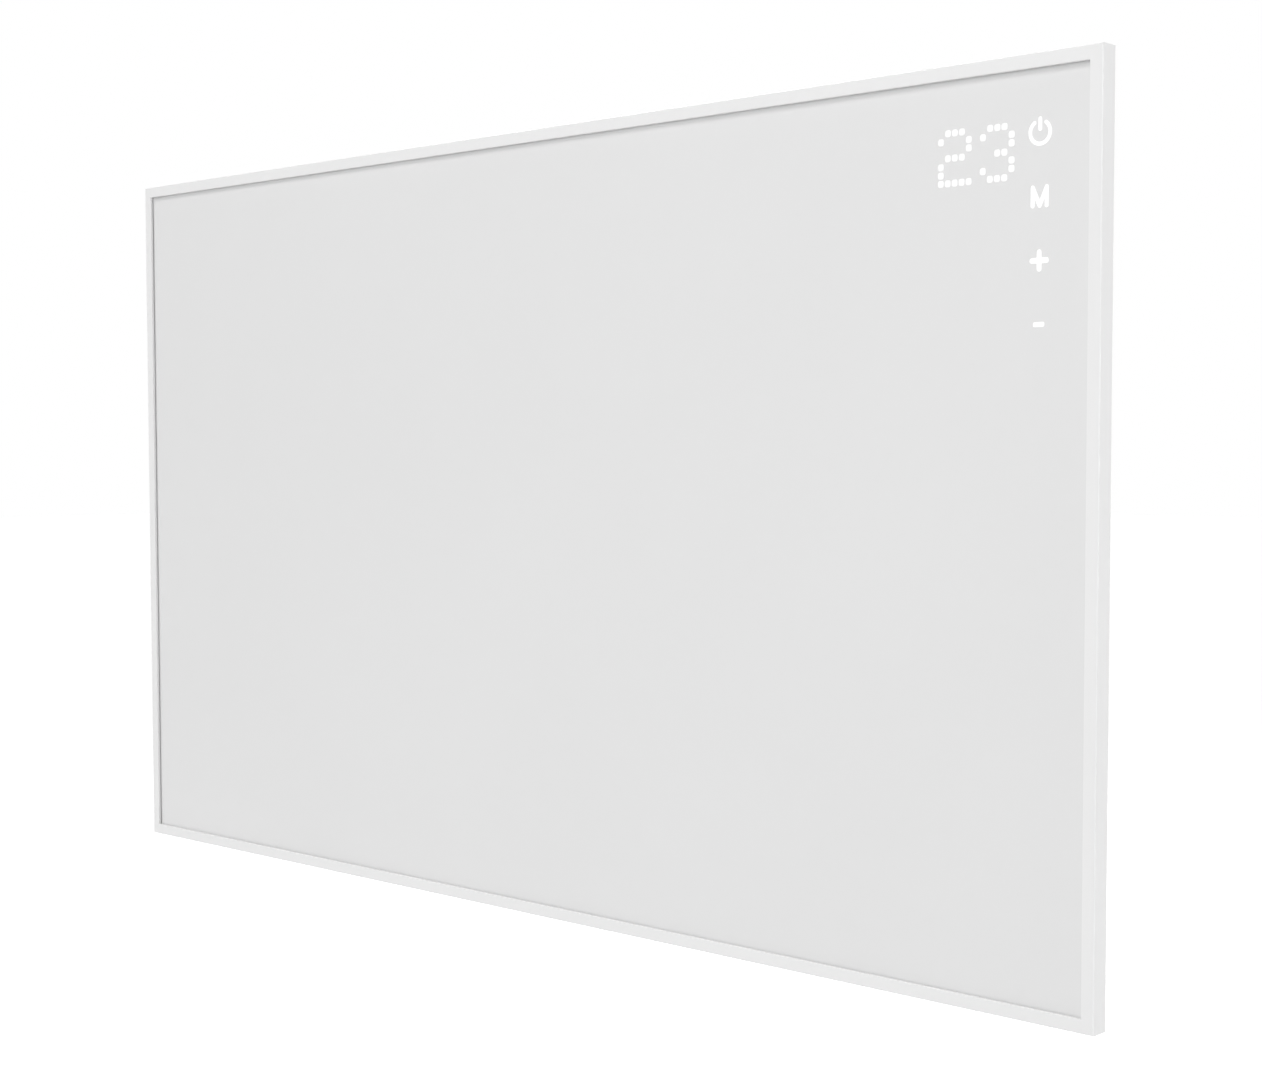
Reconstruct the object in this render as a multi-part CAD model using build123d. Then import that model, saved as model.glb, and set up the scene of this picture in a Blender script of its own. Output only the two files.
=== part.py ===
"""Wall-hung infrared panel heater with a glass front, touch marks and a rear control box.

Millimetres. +X is to the right as seen from the front, the front faces -Y, +Z is up.
The origin is in the wall plane, at the centre of the four keyholes.

Most places are given by three distances: u from the panel's right edge, v from its top edge
and d behind the front plane of its frame.
"""
from build123d import *
import os

# Panel, seen from the front
panel_width = 1000.0
panel_height = 600.0

# Frame extrusion
frame_face = 9.0
lip_thickness = 2.0
outer_wall = 1.2
front_wall = 1.4
chamber_width = 3.6
partition_wall = 0.8
seat_wall = 1.1
outer_edge_radius = 0.8
inner_edge_radius = 0.4

# Layers behind the lip, front to back
gasket_gap = 0.9
glass_thickness = 4.0
film_thickness = 0.4
band_thickness = 0.2
foil_thickness = 0.2
insulation_thickness = 4.8
cover_thickness = 0.8
cover_setback = 0.7

# Glass and its seals
glass_clearance = 0.4
glass_corner_radius = 1.5
glass_edge_chamfer = 0.4
gasket_inset = 0.2
gasket_width = 1.6
gasket_groove_depth = 1.0
seal_width = 6.0
film_margin = 0.6

# Corner keys
key_leg = 30.0
key_clearance = 0.05
key_screw_from_corner = 20.0
key_screw_radius = 2.0
key_screw_recess = 0.4
key_socket_radius = 1.1
key_socket_depth = 2.0

# Lit number, a dot matrix of two digits, and the touch marks
dot_pitch = 5.25
dot_size = 4.5
dot_corner_radius = 1.4
last_column_inset = 65.2
first_row_v = 42.0
digit_columns = 5
digit_gap_columns = 1
digit_two = (".###.", "#...#", "....#", ".###.", "#....", "#....", "#####")
digit_three = (".###.", "#...#", "....#", "..##.", "....#", "#...#", ".###.")
mark_depth = 0.3
mark_clearance = 0.02
key_column_u = 44.8
first_key_v = 48.0
key_pitch = 39.1
key_count = 4
power_ring_radius = 8.35
power_ring_stroke = 2.6
power_gap_angle = 35.0
power_bar_length = 8.9
power_bar_width = 2.8
power_bar_rise = 5.1
mode_mark_width = 12.8
mode_mark_height = 14.0
mode_mark_stroke = 2.9
plus_mark_size = 13.7
plus_mark_stroke = 3.5
minus_mark_width = 8.1
minus_mark_height = 3.1
minus_mark_radius = 1.1

# Unheated zone behind the display and the control box
zone_margin = 6.05
film_zone_gap = 3.0

# Heating film
band_width = 12.0
band_pitch = 18.0
busbar_width = 10.0
busbar_inset = 4.0
tag_thickness = 0.3
tag_width = 9.0
tag_length = 10.0
barrel_length = 5.0

# Display board
board_thickness = 1.6
board_standoff = 0.7
board_margin = 8.0
board_left_margin = 10.0
board_cut_clearance = 1.5
mask_border = 2.5
led_size = 3.0
led_height = 1.6
spring_radius = 4.0
spring_wire_radius = 0.3
spring_pitch = 0.85
chip_height = 1.0
chip_size = 12.0
driver_spacing = 24.0
touch_chip_offset = 16.0
board_screw_inset = 4.5
board_screw_radius = 1.2
board_screw_head_radius = 2.3
board_screw_head_height = 1.3
board_screw_length = 6.0
board_pillar_radius = 3.0
board_pillar_height = 3.2

# Control box
box_wall = 2.0
box_floor = 1.6
box_flange = 8.0
box_corner_radius = 4.0
box_margin = 10.0
box_top_margin = 12.0
lid_thickness = 1.6
box_wall_clearance = 2.7
post_radius = 3.5
post_inset = 5.0
boss_height = 4.0
box_screw_radius = 1.45
box_screw_head_radius = 2.7
box_screw_head_height = 1.5
box_screw_length = 6.5
vent_width = 2.5
vent_length = 12.0
vent_pitch = 6.0
vent_count = 6

# Power board and what it carries
power_board_width = 76.0
power_board_height = 104.0
power_board_top_gap = 10.0
power_board_side_gap = 4.0
power_screw_inset = 3.8
component_room = 13.2
entry_height = 3.8
pole_pitch = 8.0
pole_margin = 4.0
input_pole_offset = 18.0
output_pole_offset = 50.0
board_terminal_depth = 12.0
board_terminal_height = 10.0
sensor_header_offset = 66.0
sensor_header_width = 5.0
sensor_header_depth = 7.0
sensor_header_height = 6.0
supply_place = (10.0, 16.0)
supply_size = (22.0, 36.0, 11.0)
supply_edge_radius = 1.0
relay_place = (42.0, 58.0)
relay_size = (20.0, 16.0, 12.0)
relay_edge_radius = 0.6
wireless_place = (46.0, 14.0)
wireless_size = (18.0, 26.0, 0.8)
shield_place = (48.0, 22.0)
shield_size = (14.0, 16.0, 3.0)
buzzer_place = (52.0, 49.0)
buzzer_radius = 5.0
buzzer_height = 6.0
buzzer_hole_radius = 0.8
buzzer_hole_depth = 1.0
fuse_u_offset = 24.0
fuse_v_offset = 66.0
fuse_lift = 4.0
fuse_tube_radius = 2.4
fuse_tube_length = 14.0
fuse_cap_radius = 2.6
fuse_cap_length = 5.0
fuse_clip_width = 3.0
fuse_clip_sheet = 0.6
terminal_block_gap = 16.0
terminal_block_depth = 20.0
terminal_block_height = 13.0
terminal_block_lift = 3.0
clamp_screw_radius = 1.9
clamp_screw_depth = 3.0
entry_radius = 1.7
entry_depth = 4.0

# Insulated leads
lead_radius = 1.2
lead_bend = 3.0
deep_lead_bend = 5.0
window_gap = 4.0
sensor_lead_radius = 0.8
slot_clearance = 1.0
cutout_width = 9.0
cutout_length = 22.0
cutout_thickness = 3.0
cutout_drop = 28.0

# Link between the two boards
link_pin_count = 8
link_pin_pitch = 2.54
link_pin_size = 0.64
link_header_width = 2.5
link_header_height = 2.5
link_u_offset = 38.0
link_v_offset = 76.0
link_window_margin = 1.5

# Earth pillar
earth_pillar_radius = 4.0
earth_shank_radius = 2.5
earth_bore_radius = 2.05
earth_screw_radius = 2.0
earth_screw_length = 6.0
earth_head_radius = 3.8
earth_head_height = 2.4
earth_tag_thickness = 0.8
earth_hole_radius = 6.0
earth_u_offset = 16.0
earth_v_offset = 22.0

# Cable gland, for a round lead of about 6.5 mm
cord_bore_radius = 3.4
seal_wall = 1.35
gland_wall = 1.2
gland_bore_clearance = 0.05
gland_bore_gap = 0.5
gland_thread_radius = 6.0
gland_flat_radius = 7.5
gland_collar = 5.0
gland_thread_inside = 10.0
gland_cup_length = 11.0
gland_nut_gap = 1.0
gland_nut_wall = 1.2
gland_nut_end = 5.0
gland_dome_radius = 2.0
locknut_thickness = 4.0

# Rocker switch in the right wall of the control box
bezel_height = 21.0
bezel_depth = 15.0
bezel_thickness = 2.0
bezel_edge_radius = 0.8
housing_height = 19.2
housing_depth = 12.9
housing_length = 14.0
housing_clearance = 0.1
rocker_cavity_height = 17.9
rocker_cavity_depth = 10.7
rocker_cavity_length = 9.0
rocker_gap = 0.3
rocker_angle = 11.0
rocker_waist = 3.2
rocker_base = 2.5
pivot_below_bezel = 4.0
pivot_radius = 1.2
pivot_clearance = 0.05
pivot_length = 0.7
pivot_end_gap = 0.1
blade_width = 4.8
blade_thickness = 0.8
blade_length = 8.0
blade_root = 4.0
blade_spacing = 10.0
blade_clearance = 0.05
sleeve_wall = 1.0
sleeve_overlap = 6.0
sleeve_tail = 2.0
switch_top_gap = 86.0
wire_room = 16.0

# Room-air sensor
sensor_radius = 2.5
sensor_tip_radius = 2.2
sensor_clearance = 0.05
sensor_outside = 4.0
sensor_inside = 6.0
sensor_flange_radius = 3.5
sensor_flange = 1.0

# Rear cover, its screws and its stiffening beads
cover_clearance = 0.2
cover_screw_u = 3.4
cover_screw_radius = 1.1
cover_screw_head_radius = 2.0
cover_screw_head_height = 1.3
cover_screw_length = 5.0
cover_screw_end_gap = 50.0
screw_hole_clearance = 0.05
top_screw_count = 7
side_screw_count = 4
recess_width = 0.6
recess_depth = 0.6
bead_count = 3
bead_pitch = 150.0
bead_width = 16.0
bead_length = 420.0
bead_height = 1.5

# Wall brackets
bracket_box_gap = 9.05
bracket_end_inset = 100.0
bracket_sheet = 1.5
bracket_top_width = 46.0
bracket_flange = 14.0
bracket_height = 60.0
bracket_bend_radius = 1.0
keyhole_radius = 5.0
keyhole_slot_width = 5.2
keyhole_slot_rise = 12.0
rivet_radius = 2.0
rivet_head_radius = 4.0
rivet_head_height = 1.2
rivet_edge_radius = 0.7
rivet_tail_radius = 2.8
rivet_tail_length = 1.8
rivet_spread = 18.0
rivet_pocket_clearance = 0.6

# Depths behind the front plane, from the layers
glass_front = lip_thickness + gasket_gap
glass_back = glass_front + glass_thickness
film_back = glass_back + film_thickness
band_back = film_back + band_thickness
foil_back = band_back + foil_thickness
cover_front = foil_back + insulation_thickness
cover_back = cover_front + cover_thickness
frame_depth = cover_back + cover_setback
chamber_back = cover_front - seat_wall

# Depths in the control box, from what it holds
floor_back = cover_back + box_floor
power_board_front = floor_back + boss_height
power_board_back = power_board_front + board_thickness
wire_plane = power_board_back + entry_height
lid_front = power_board_back + component_room
lid_back = lid_front + lid_thickness
wall_plane = lid_back + box_wall_clearance
front_y = -wall_plane

# The display board is held off the box floor and reaches forward to the glass
display_board_back = cover_back - board_standoff
display_board_front = display_board_back - board_thickness
mask_depth = display_board_front - glass_back

# Distances inward from the panel's edges
pocket_edge = outer_wall + chamber_width + partition_wall
glass_edge = pocket_edge + glass_clearance
gasket_edge = glass_edge + gasket_inset
seal_inner_edge = glass_edge + seal_width
film_edge = seal_inner_edge + film_margin
cover_edge = outer_wall + cover_clearance
half_width = panel_width / 2
half_height = panel_height / 2

# Number layout
number_columns = 2 * digit_columns + digit_gap_columns
number_rows = len(digit_two)
first_column_u = last_column_inset + (number_columns - 1) * dot_pitch
last_row_v = first_row_v + (number_rows - 1) * dot_pitch
last_key_v = first_key_v + (key_count - 1) * key_pitch

# Display board outline, from the number and the keys in front of it
board_right = key_column_u - power_ring_radius - board_margin / 2
mask_reach = dot_size / 2 + mask_border
board_left = first_column_u + mask_reach + board_left_margin
board_top = min(first_row_v, first_key_v) - board_margin
board_bottom = last_key_v + power_ring_radius + board_margin / 2

# Control box outline, from the switch, the power board and the leads
box_right = board_right - box_margin
inner_right = box_right + box_wall
sleeve_end = box_right + housing_length + blade_length + sleeve_tail
power_board_right = sleeve_end + wire_room
power_board_left = power_board_right + power_board_width
inner_left = max(power_board_left + power_board_side_gap, board_left + board_cut_clearance + box_margin)
box_left = inner_left + box_wall
box_top = board_top - box_top_margin
inner_top = box_top + box_wall
power_board_top = inner_top + power_board_top_gap
power_board_bottom = power_board_top + power_board_height
block_top = power_board_bottom + terminal_block_gap
block_bottom = block_top + terminal_block_depth
window_top = board_bottom + board_cut_clearance + window_gap
window_bottom = window_top + 4 * lead_radius + 2 * deep_lead_bend
earth_v = block_bottom + earth_v_offset
inner_bottom = max(window_bottom, earth_v) + earth_hole_radius + gland_thread_inside
box_bottom = inner_bottom + box_wall
zone_width = box_left + box_flange + zone_margin
zone_height = box_bottom + box_flange + zone_margin
box_u = (box_right + box_left) / 2
box_v = (box_top + box_bottom) / 2

# Poles of the terminals, counted from the power board's right edge
live_u = power_board_right + input_pole_offset
neutral_u = live_u + pole_pitch
earth_pole_u = live_u - pole_pitch
output_near_u = power_board_right + output_pole_offset
output_far_u = output_near_u + pole_pitch
sensor_u = power_board_right + sensor_header_offset
earth_u = earth_pole_u - earth_u_offset

# Bracket spacing: the upper right bracket stands beside the control box
bracket_inset = box_left + box_flange + bracket_box_gap + bracket_flange + bracket_top_width / 2
bracket_spacing_x = panel_width - 2 * bracket_inset
bracket_spacing_z = panel_height - 2 * bracket_end_inset

# Gland and switch places
gland_u = live_u
switch_v = inner_top + switch_top_gap
pivot_u = box_right - bezel_thickness + pivot_below_bezel


def x_at(u):
    """X of a place at a distance from the panel's right edge."""
    return half_width - u


def y_at(d):
    """Y of a depth behind the frame's front plane."""
    return front_y + d


def z_at(v):
    """Z of a place at a distance from the panel's top edge."""
    return half_height - v


def place(u, v, d):
    return Vector(x_at(u), y_at(d), z_at(v))


def block(u, v, d):
    """A box from its ranges in u, v and d."""
    size = (u[1] - u[0], d[1] - d[0], v[1] - v[0])
    middle = place((u[0] + u[1]) / 2, (v[0] + v[1]) / 2, (d[0] + d[1]) / 2)
    return Pos(middle) * Box(*size)


def slab(sketch, front, back):
    """A front-view sketch given thickness between two depths."""
    view = Plane(origin=(0, y_at(front), 0), x_dir=(1, 0, 0), z_dir=(0, -1, 0))
    return extrude(view * sketch, amount=front - back)


def pin_y(u, v, radius, front, back):
    """A cylinder along the depth."""
    return slab(Pos(x_at(u), z_at(v)) * Circle(radius), front, back)


def pin_z(u, d, radius, top, bottom):
    """A cylinder along the height."""
    middle = place(u, (top + bottom) / 2, d)
    return Pos(middle) * Cylinder(radius, bottom - top)


def pin_x(v, d, radius, right, left):
    """A cylinder along the width."""
    middle = place((right + left) / 2, v, d)
    return Pos(middle) * Rot(0, 90, 0) * Cylinder(radius, left - right)


def sheet_outline(inset):
    """A full rectangle inside the panel's edges."""
    return Rectangle(panel_width - 2 * inset, panel_height - 2 * inset)


def range_sketch(u, v, corner=0.0):
    """A front-view rectangle from its ranges in u and v."""
    width = u[1] - u[0]
    height = v[1] - v[0]
    outline = RectangleRounded(width, height, corner) if corner > 0 else Rectangle(width, height)
    return Pos(x_at((u[0] + u[1]) / 2), z_at((v[0] + v[1]) / 2)) * outline


def group(solids):
    """Separate solids kept together in one node."""
    return Compound(children=[solid for piece in solids for solid in piece.solids()])


def save(name, shape):
    export_step(shape, os.path.join("parts", name + ".step"))


def drilled(body, tools):
    """The body with each tool taken out of it."""
    for tool in tools:
        body = body - tool
    return body


def cross_recess(u, v, back):
    """A shallow cross in the rear face of a screw head."""
    reach = 4 * recess_width
    upright = block((u - recess_width / 2, u + recess_width / 2), (v - reach / 2, v + reach / 2),
                    (back - recess_depth, back))
    level = block((u - reach / 2, u + reach / 2), (v - recess_width / 2, v + recess_width / 2),
                  (back - recess_depth, back))
    return upright + level


def rear_screw(u, v, seat, shank_radius, shank_length, head_radius, head_height):
    """A pan-head screw driven from behind: its head lies on the seat, its shank points forward."""
    shank = pin_y(u, v, shank_radius, seat - shank_length, seat)
    head = pin_y(u, v, head_radius, seat, seat + head_height)
    return shank + head - cross_recess(u, v, seat + head_height)


# ---------------------------------------------------------------- frame

def mitred_bar(section, side_length, reach):
    """A bar along the panel's top side, cut at 45 degrees at both ends."""
    side_plane = Plane(origin=(0, front_y, reach), x_dir=(0, 0, -1), z_dir=(1, 0, 0))
    half = side_length / 2
    bar = extrude(side_plane * section, amount=half, both=True)
    inward = frame_face + seal_inner_edge
    trapezoid = Polygon((-half, reach), (-half + inward, reach - inward),
                        (half - inward, reach - inward), (half, reach))
    return bar & slab(trapezoid, 0, frame_depth)


def sides():
    """Each side's name, length, distance from the centre, turn from the top side and screw count."""
    return (
        ("top", panel_width, half_height, 0, top_screw_count),
        ("right", panel_height, half_width, 90, side_screw_count),
        ("bottom", panel_width, half_height, 180, top_screw_count),
        ("left", panel_height, half_width, 270, side_screw_count),
    )


def section_strip(inner, outer, front, back):
    """A plain rectangle in the section of one side."""
    return Pos((inner + outer) / 2, (front + back) / 2) * Rectangle(outer - inner, back - front)


def frame_section():
    """The extrusion's section: lip, hollow key chamber, seat for the cover and outer wall."""
    outline = Polygon((0, 0), (frame_face, 0), (frame_face, lip_thickness),
                      (pocket_edge, lip_thickness), (pocket_edge, cover_front),
                      (outer_wall, cover_front), (outer_wall, frame_depth), (0, frame_depth))
    outline = fillet(outline.vertices().sort_by_distance((0, 0, 0))[:1], outer_edge_radius)
    outline = fillet(outline.vertices().sort_by_distance((frame_face, 0, 0))[:1], inner_edge_radius)
    chamber = section_strip(outer_wall, outer_wall + chamber_width, front_wall, chamber_back)
    groove = section_strip(gasket_edge, gasket_edge + gasket_width,
                           lip_thickness - gasket_groove_depth, lip_thickness)
    return outline - chamber - groove


def cover_screw_places(side_length, count):
    """Places of the cover screws along one side, from its middle."""
    span = side_length - 2 * cover_screw_end_gap
    return [-span / 2 + span * step / (count - 1) for step in range(count)]


def key_screw_axis(side_length, reach, end):
    """Where a grub screw crosses the frame, at one end of a side."""
    return (end * (side_length / 2 - key_screw_from_corner), y_at((front_wall + chamber_back) / 2), reach)


def upright_pin(axis, radius, first, last):
    """A cylinder that points from the panel's edge inward, on the top side."""
    return Pos(axis[0], axis[1], axis[2] - (first + last) / 2) * Cylinder(radius, last - first)


def frame_member(side_length, reach, turn, screw_count):
    member = mitred_bar(frame_section(), side_length, reach)
    seat_holes = [
        Pos(along, y_at(cover_front - seat_wall / 2), reach - cover_screw_u) * Rot(90, 0, 0)
        * Cylinder(cover_screw_radius + screw_hole_clearance, 2 * seat_wall)
        for along in cover_screw_places(side_length, screw_count)
    ]
    key_holes = [
        upright_pin(key_screw_axis(side_length, reach, end), key_screw_radius + key_clearance,
                    outer_wall + chamber_width - key_clearance, pocket_edge + partition_wall)
        for end in (-1, 1)
    ]
    return Rot(0, turn, 0) * drilled(member, seat_holes + key_holes)


def corner_key():
    """The L-shaped key of the top right corner."""
    near = outer_wall + key_clearance
    far = outer_wall + chamber_width - key_clearance
    outline = Polygon((x_at(near), z_at(near)), (x_at(key_leg), z_at(near)), (x_at(key_leg), z_at(far)),
                      (x_at(far), z_at(far)), (x_at(far), z_at(key_leg)), (x_at(near), z_at(key_leg)))
    key = slab(outline, front_wall + key_clearance, chamber_back - key_clearance)
    middle = (front_wall + chamber_back) / 2
    bore = key_screw_radius + key_clearance
    upright = pin_z(key_screw_from_corner, middle, bore, 0, pocket_edge)
    level = pin_x(key_screw_from_corner, middle, bore, 0, pocket_edge)
    return drilled(key, [upright, level])


def corner_keys():
    right_top = corner_key()
    left_top = mirror(right_top, about=Plane.YZ)
    return group([right_top, left_top, mirror(right_top, about=Plane.XY), mirror(left_top, about=Plane.XY)])


def corner_key_screws():
    """Grub screws through the partition and the key, against the outer wall."""
    screws = []
    for _, side_length, reach, turn, _ in sides():
        for end in (-1, 1):
            axis = key_screw_axis(side_length, reach, end)
            tip_to_socket = pocket_edge - key_screw_recess
            body = upright_pin(axis, key_screw_radius, outer_wall, tip_to_socket)
            socket = upright_pin(axis, key_socket_radius, tip_to_socket - key_socket_depth, pocket_edge)
            screws.append(Rot(0, turn, 0) * (body - socket))
    return group(screws)


# ---------------------------------------------------------------- glass, marks and seals

def mitred_strips(inner, outer, front, back):
    """Four strips of one rectangular section around the panel."""
    section = section_strip(inner, outer, front, back)
    return group([Rot(0, turn, 0) * mitred_bar(section, side_length, reach)
                  for _, side_length, reach, turn, _ in sides()])


def dot_places(lit_only):
    """Centres of the number's dots, the unlit ones too unless lit_only."""
    places = []
    for row in range(number_rows):
        line = digit_two[row] + "." * digit_gap_columns + digit_three[row]
        for column, cell in enumerate(line):
            in_gap = digit_columns <= column < digit_columns + digit_gap_columns
            if cell == "#" or not (lit_only or in_gap):
                places.append((first_column_u - column * dot_pitch, first_row_v + row * dot_pitch))
    return places


def square_marks(places, size, corner):
    """Rounded squares at a list of places, as one front-view sketch."""
    return Sketch() + [Pos(x_at(u), z_at(v)) * RectangleRounded(size, size, corner) for u, v in places]


def stroke(start, end, width):
    """A straight pen stroke with round ends, whose end points are its outer tips' centres."""
    run = Vector(*end) - Vector(*start)
    middle = (Vector(*start) + Vector(*end)) / 2
    angle = Vector(1, 0).get_signed_angle(run, Vector(0, 0, 1))
    return Pos(middle) * Rot(0, 0, angle) * SlotCenterToCenter(run.length, width)


def power_mark(grow):
    middle_radius = power_ring_radius - power_ring_stroke / 2
    ring = Circle(power_ring_radius + grow) - Circle(power_ring_radius - power_ring_stroke - grow)
    wedge_reach = 2 * power_ring_radius
    left = Vector(0, wedge_reach).rotate(Axis.Z, power_gap_angle)
    right = Vector(0, wedge_reach).rotate(Axis.Z, -power_gap_angle)
    ring = ring - Polygon((0, 0), (right.X, right.Y), (left.X, left.Y))
    for angle in (-power_gap_angle, power_gap_angle):
        end = Vector(0, middle_radius).rotate(Axis.Z, angle)
        ring = ring + Pos(end) * Circle(power_ring_stroke / 2 + grow)
    half_bar = (power_bar_length - power_bar_width) / 2
    bar = stroke((0, power_bar_rise - half_bar), (0, power_bar_rise + half_bar), power_bar_width + 2 * grow)
    return ring + bar


def mode_mark(grow):
    """A plain capital M whose middle strokes meet on its base line."""
    side = (mode_mark_width - mode_mark_stroke) / 2
    rise = (mode_mark_height - mode_mark_stroke) / 2
    width = mode_mark_stroke + 2 * grow
    return (stroke((-side, -rise), (-side, rise), width) + stroke((side, -rise), (side, rise), width)
            + stroke((-side, rise), (0, -rise), width) + stroke((side, rise), (0, -rise), width))


def plus_mark(grow):
    reach = (plus_mark_size - plus_mark_stroke) / 2
    width = plus_mark_stroke + 2 * grow
    return stroke((-reach, 0), (reach, 0), width) + stroke((0, -reach), (0, reach), width)


def minus_mark(grow):
    width = minus_mark_width + 2 * grow
    return RectangleRounded(width, minus_mark_height + 2 * grow, minus_mark_radius + grow)


def key_marks(grow):
    """The four touch marks in their column, as separate front-view sketches."""
    marks = (power_mark(grow), mode_mark(grow), plus_mark(grow), minus_mark(grow))
    return [Pos(x_at(key_column_u), z_at(first_key_v + step * key_pitch)) * mark
            for step, mark in enumerate(marks)]


def front_glass():
    glass_width = panel_width - 2 * glass_edge
    glass_height = panel_height - 2 * glass_edge
    glass = slab(RectangleRounded(glass_width, glass_height, glass_corner_radius), glass_front, glass_back)
    faces = glass.faces().sort_by(Axis.Y)
    glass = chamfer(faces[0].edges() + faces[-1].edges(), glass_edge_chamfer)
    pocket_back = glass_front + mark_depth
    dots = square_marks(dot_places(True), dot_size + 2 * mark_clearance, dot_corner_radius + mark_clearance)
    glass = glass - slab(dots, glass_front, pocket_back)
    return drilled(glass, [slab(mark, glass_front, pocket_back) for mark in key_marks(mark_clearance)])


def lit_digit_dots():
    return group([slab(square_marks(dot_places(True), dot_size, dot_corner_radius),
                       glass_front, glass_front + mark_depth)])


def touch_marks():
    return group([slab(mark, glass_front, glass_front + mark_depth) for mark in key_marks(0.0)])


# ---------------------------------------------------------------- heating film and rear layers

def notched_outline(edge, zone_gap):
    """A rectangle inside the panel's edges without the unheated zone at the top right."""
    zone = range_sketch((0, zone_width + zone_gap), (0, zone_height + zone_gap))
    return sheet_outline(edge) - zone


def busbar_outlines():
    """The upper busbar, which goes round the unheated zone, and the lower one, as u and v ranges."""
    edge = film_edge + busbar_inset
    zone_left = zone_width + film_zone_gap + busbar_inset
    zone_below = zone_height + film_zone_gap + busbar_inset
    upper = [
        ((zone_left, panel_width - edge), (edge, edge + busbar_width)),
        ((zone_left, zone_left + busbar_width), (edge, zone_below + busbar_width)),
        ((edge, zone_left + busbar_width), (zone_below, zone_below + busbar_width)),
    ]
    lower = ((edge, panel_width - edge), (panel_height - edge - busbar_width, panel_height - edge))
    return upper, lower


def film_busbars():
    upper, lower = busbar_outlines()
    depth = (film_back, band_back)
    upper_sketch = Sketch() + [range_sketch(u, v) for u, v in upper]
    return group([slab(upper_sketch, *depth), block(lower[0], lower[1], depth)])


def carbon_bands():
    """Upright resistive bands between the two busbars."""
    upper, lower = busbar_outlines()
    zone_bar = upper[1][0]
    first, last = lower[0]
    count = int((last - first - band_width) / band_pitch) + 1
    start = (first + last - (count - 1) * band_pitch - band_width) / 2
    bands = []
    for step in range(count):
        near = start + step * band_pitch
        far = near + band_width
        if far <= zone_bar[1]:
            top = upper[2][1][1]
        elif near >= zone_bar[1]:
            top = upper[0][1][1]
        else:
            continue
        bands.append(block((near, far), (top, lower[1][0]), (film_back, band_back)))
    return group(bands)


def heating_film():
    return slab(notched_outline(film_edge, film_zone_gap), glass_back, film_back)


def terminal_places():
    """Upper and lower busbar terminals: u, and v of the end that faces the unheated zone."""
    upper, lower = busbar_outlines()
    upper_v = (upper[2][1][0] + upper[2][1][1] - tag_length) / 2
    lower_v = (lower[1][0] + lower[1][1] - tag_length) / 2
    return ((output_near_u, upper_v), (output_far_u, lower_v))


def tag_ranges(u, v, grow):
    """Ranges in u and v of a terminal tag with its barrel above it."""
    side = tag_width / 2 + grow
    return ((u - side, u + side), (v - barrel_length - grow, v + tag_length + grow))


lead_depth = band_back + tag_thickness + lead_radius


def busbar_terminals():
    """Copper tags soldered to the busbars, each with a crimp barrel for its lead."""
    terminals = []
    for u, v in terminal_places():
        flag = block((u - tag_width / 2, u + tag_width / 2), (v, v + tag_length),
                     (band_back, band_back + tag_thickness))
        neck = block((u - lead_radius, u + lead_radius), (v - barrel_length, v + barrel_length),
                     (band_back, lead_depth))
        barrel = pin_z(u, lead_depth, lead_radius, v - barrel_length, v + barrel_length)
        terminals.append(flag + neck + barrel)
    return group(terminals)


def reflector_foil():
    foil = slab(notched_outline(film_edge, film_zone_gap), band_back, foil_back)
    windows = [block(*tag_ranges(u, v, slot_clearance), (film_back + band_thickness, cover_front))
               for u, v in terminal_places()]
    return drilled(foil, windows)


def cutout_ranges(grow):
    """Ranges in u and v of the thermal cut-out, below the unheated zone."""
    top = zone_height + cutout_drop
    return ((output_far_u - cutout_width / 2 - grow, output_far_u + cutout_width / 2 + grow),
            (top - grow, top + cutout_length + grow))


def thermal_cutout():
    ranges = cutout_ranges(0)
    return block(ranges[0], ranges[1], (foil_back, foil_back + cutout_thickness))


def insulation_board():
    """The board has slots for the leads, pockets for the terminals, the cut-out and the rivet tails."""
    board = slab(notched_outline(seal_inner_edge, 0.0), foil_back, cover_front)
    half_slot = lead_radius + slot_clearance
    depth = (foil_back, cover_front)
    tools = [block(*cutout_ranges(slot_clearance), depth)]
    for u, v in terminal_places():
        tools.append(block((u - half_slot, u + half_slot), (zone_height - slot_clearance, v), depth))
        tools.append(block(*tag_ranges(u, v, slot_clearance), depth))
    pocket_radius = rivet_tail_radius + rivet_pocket_clearance
    pocket_front = cover_front - rivet_tail_length - rivet_pocket_clearance
    tools += [pin_y(u, v, pocket_radius, pocket_front, cover_front) for u, v in rivet_places()]
    return drilled(board, tools)


# ---------------------------------------------------------------- rear cover

def display_cut():
    """Opening behind the display board, as u and v ranges."""
    grow = board_cut_clearance
    return ((board_right - grow, board_left + grow), (board_top - grow, board_bottom + grow))


def lead_window():
    """Opening for the two heater leads, as u and v ranges."""
    side = 2 * lead_radius + slot_clearance
    return ((output_near_u - side, output_far_u + side), (window_top, window_bottom))


def flange_screw_places():
    """Screws through the control box flange, two on each side."""
    half_flange = box_flange / 2
    right = box_right - half_flange
    left = box_left + half_flange
    top = box_top - half_flange
    bottom = box_bottom + half_flange
    quarter_u = (box_left - box_right) / 4
    quarter_v = (box_bottom - box_top) / 4
    return [(right, box_v - quarter_v), (right, box_v + quarter_v), (left, box_v - quarter_v),
            (left, box_v + quarter_v), (box_u - quarter_u, top), (box_u + quarter_u, top),
            (box_u - quarter_u, bottom), (box_u + quarter_u, bottom)]


def bead_places():
    """X of each upright stiffening bead."""
    return [(step - (bead_count - 1) / 2) * bead_pitch for step in range(bead_count)]


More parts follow.
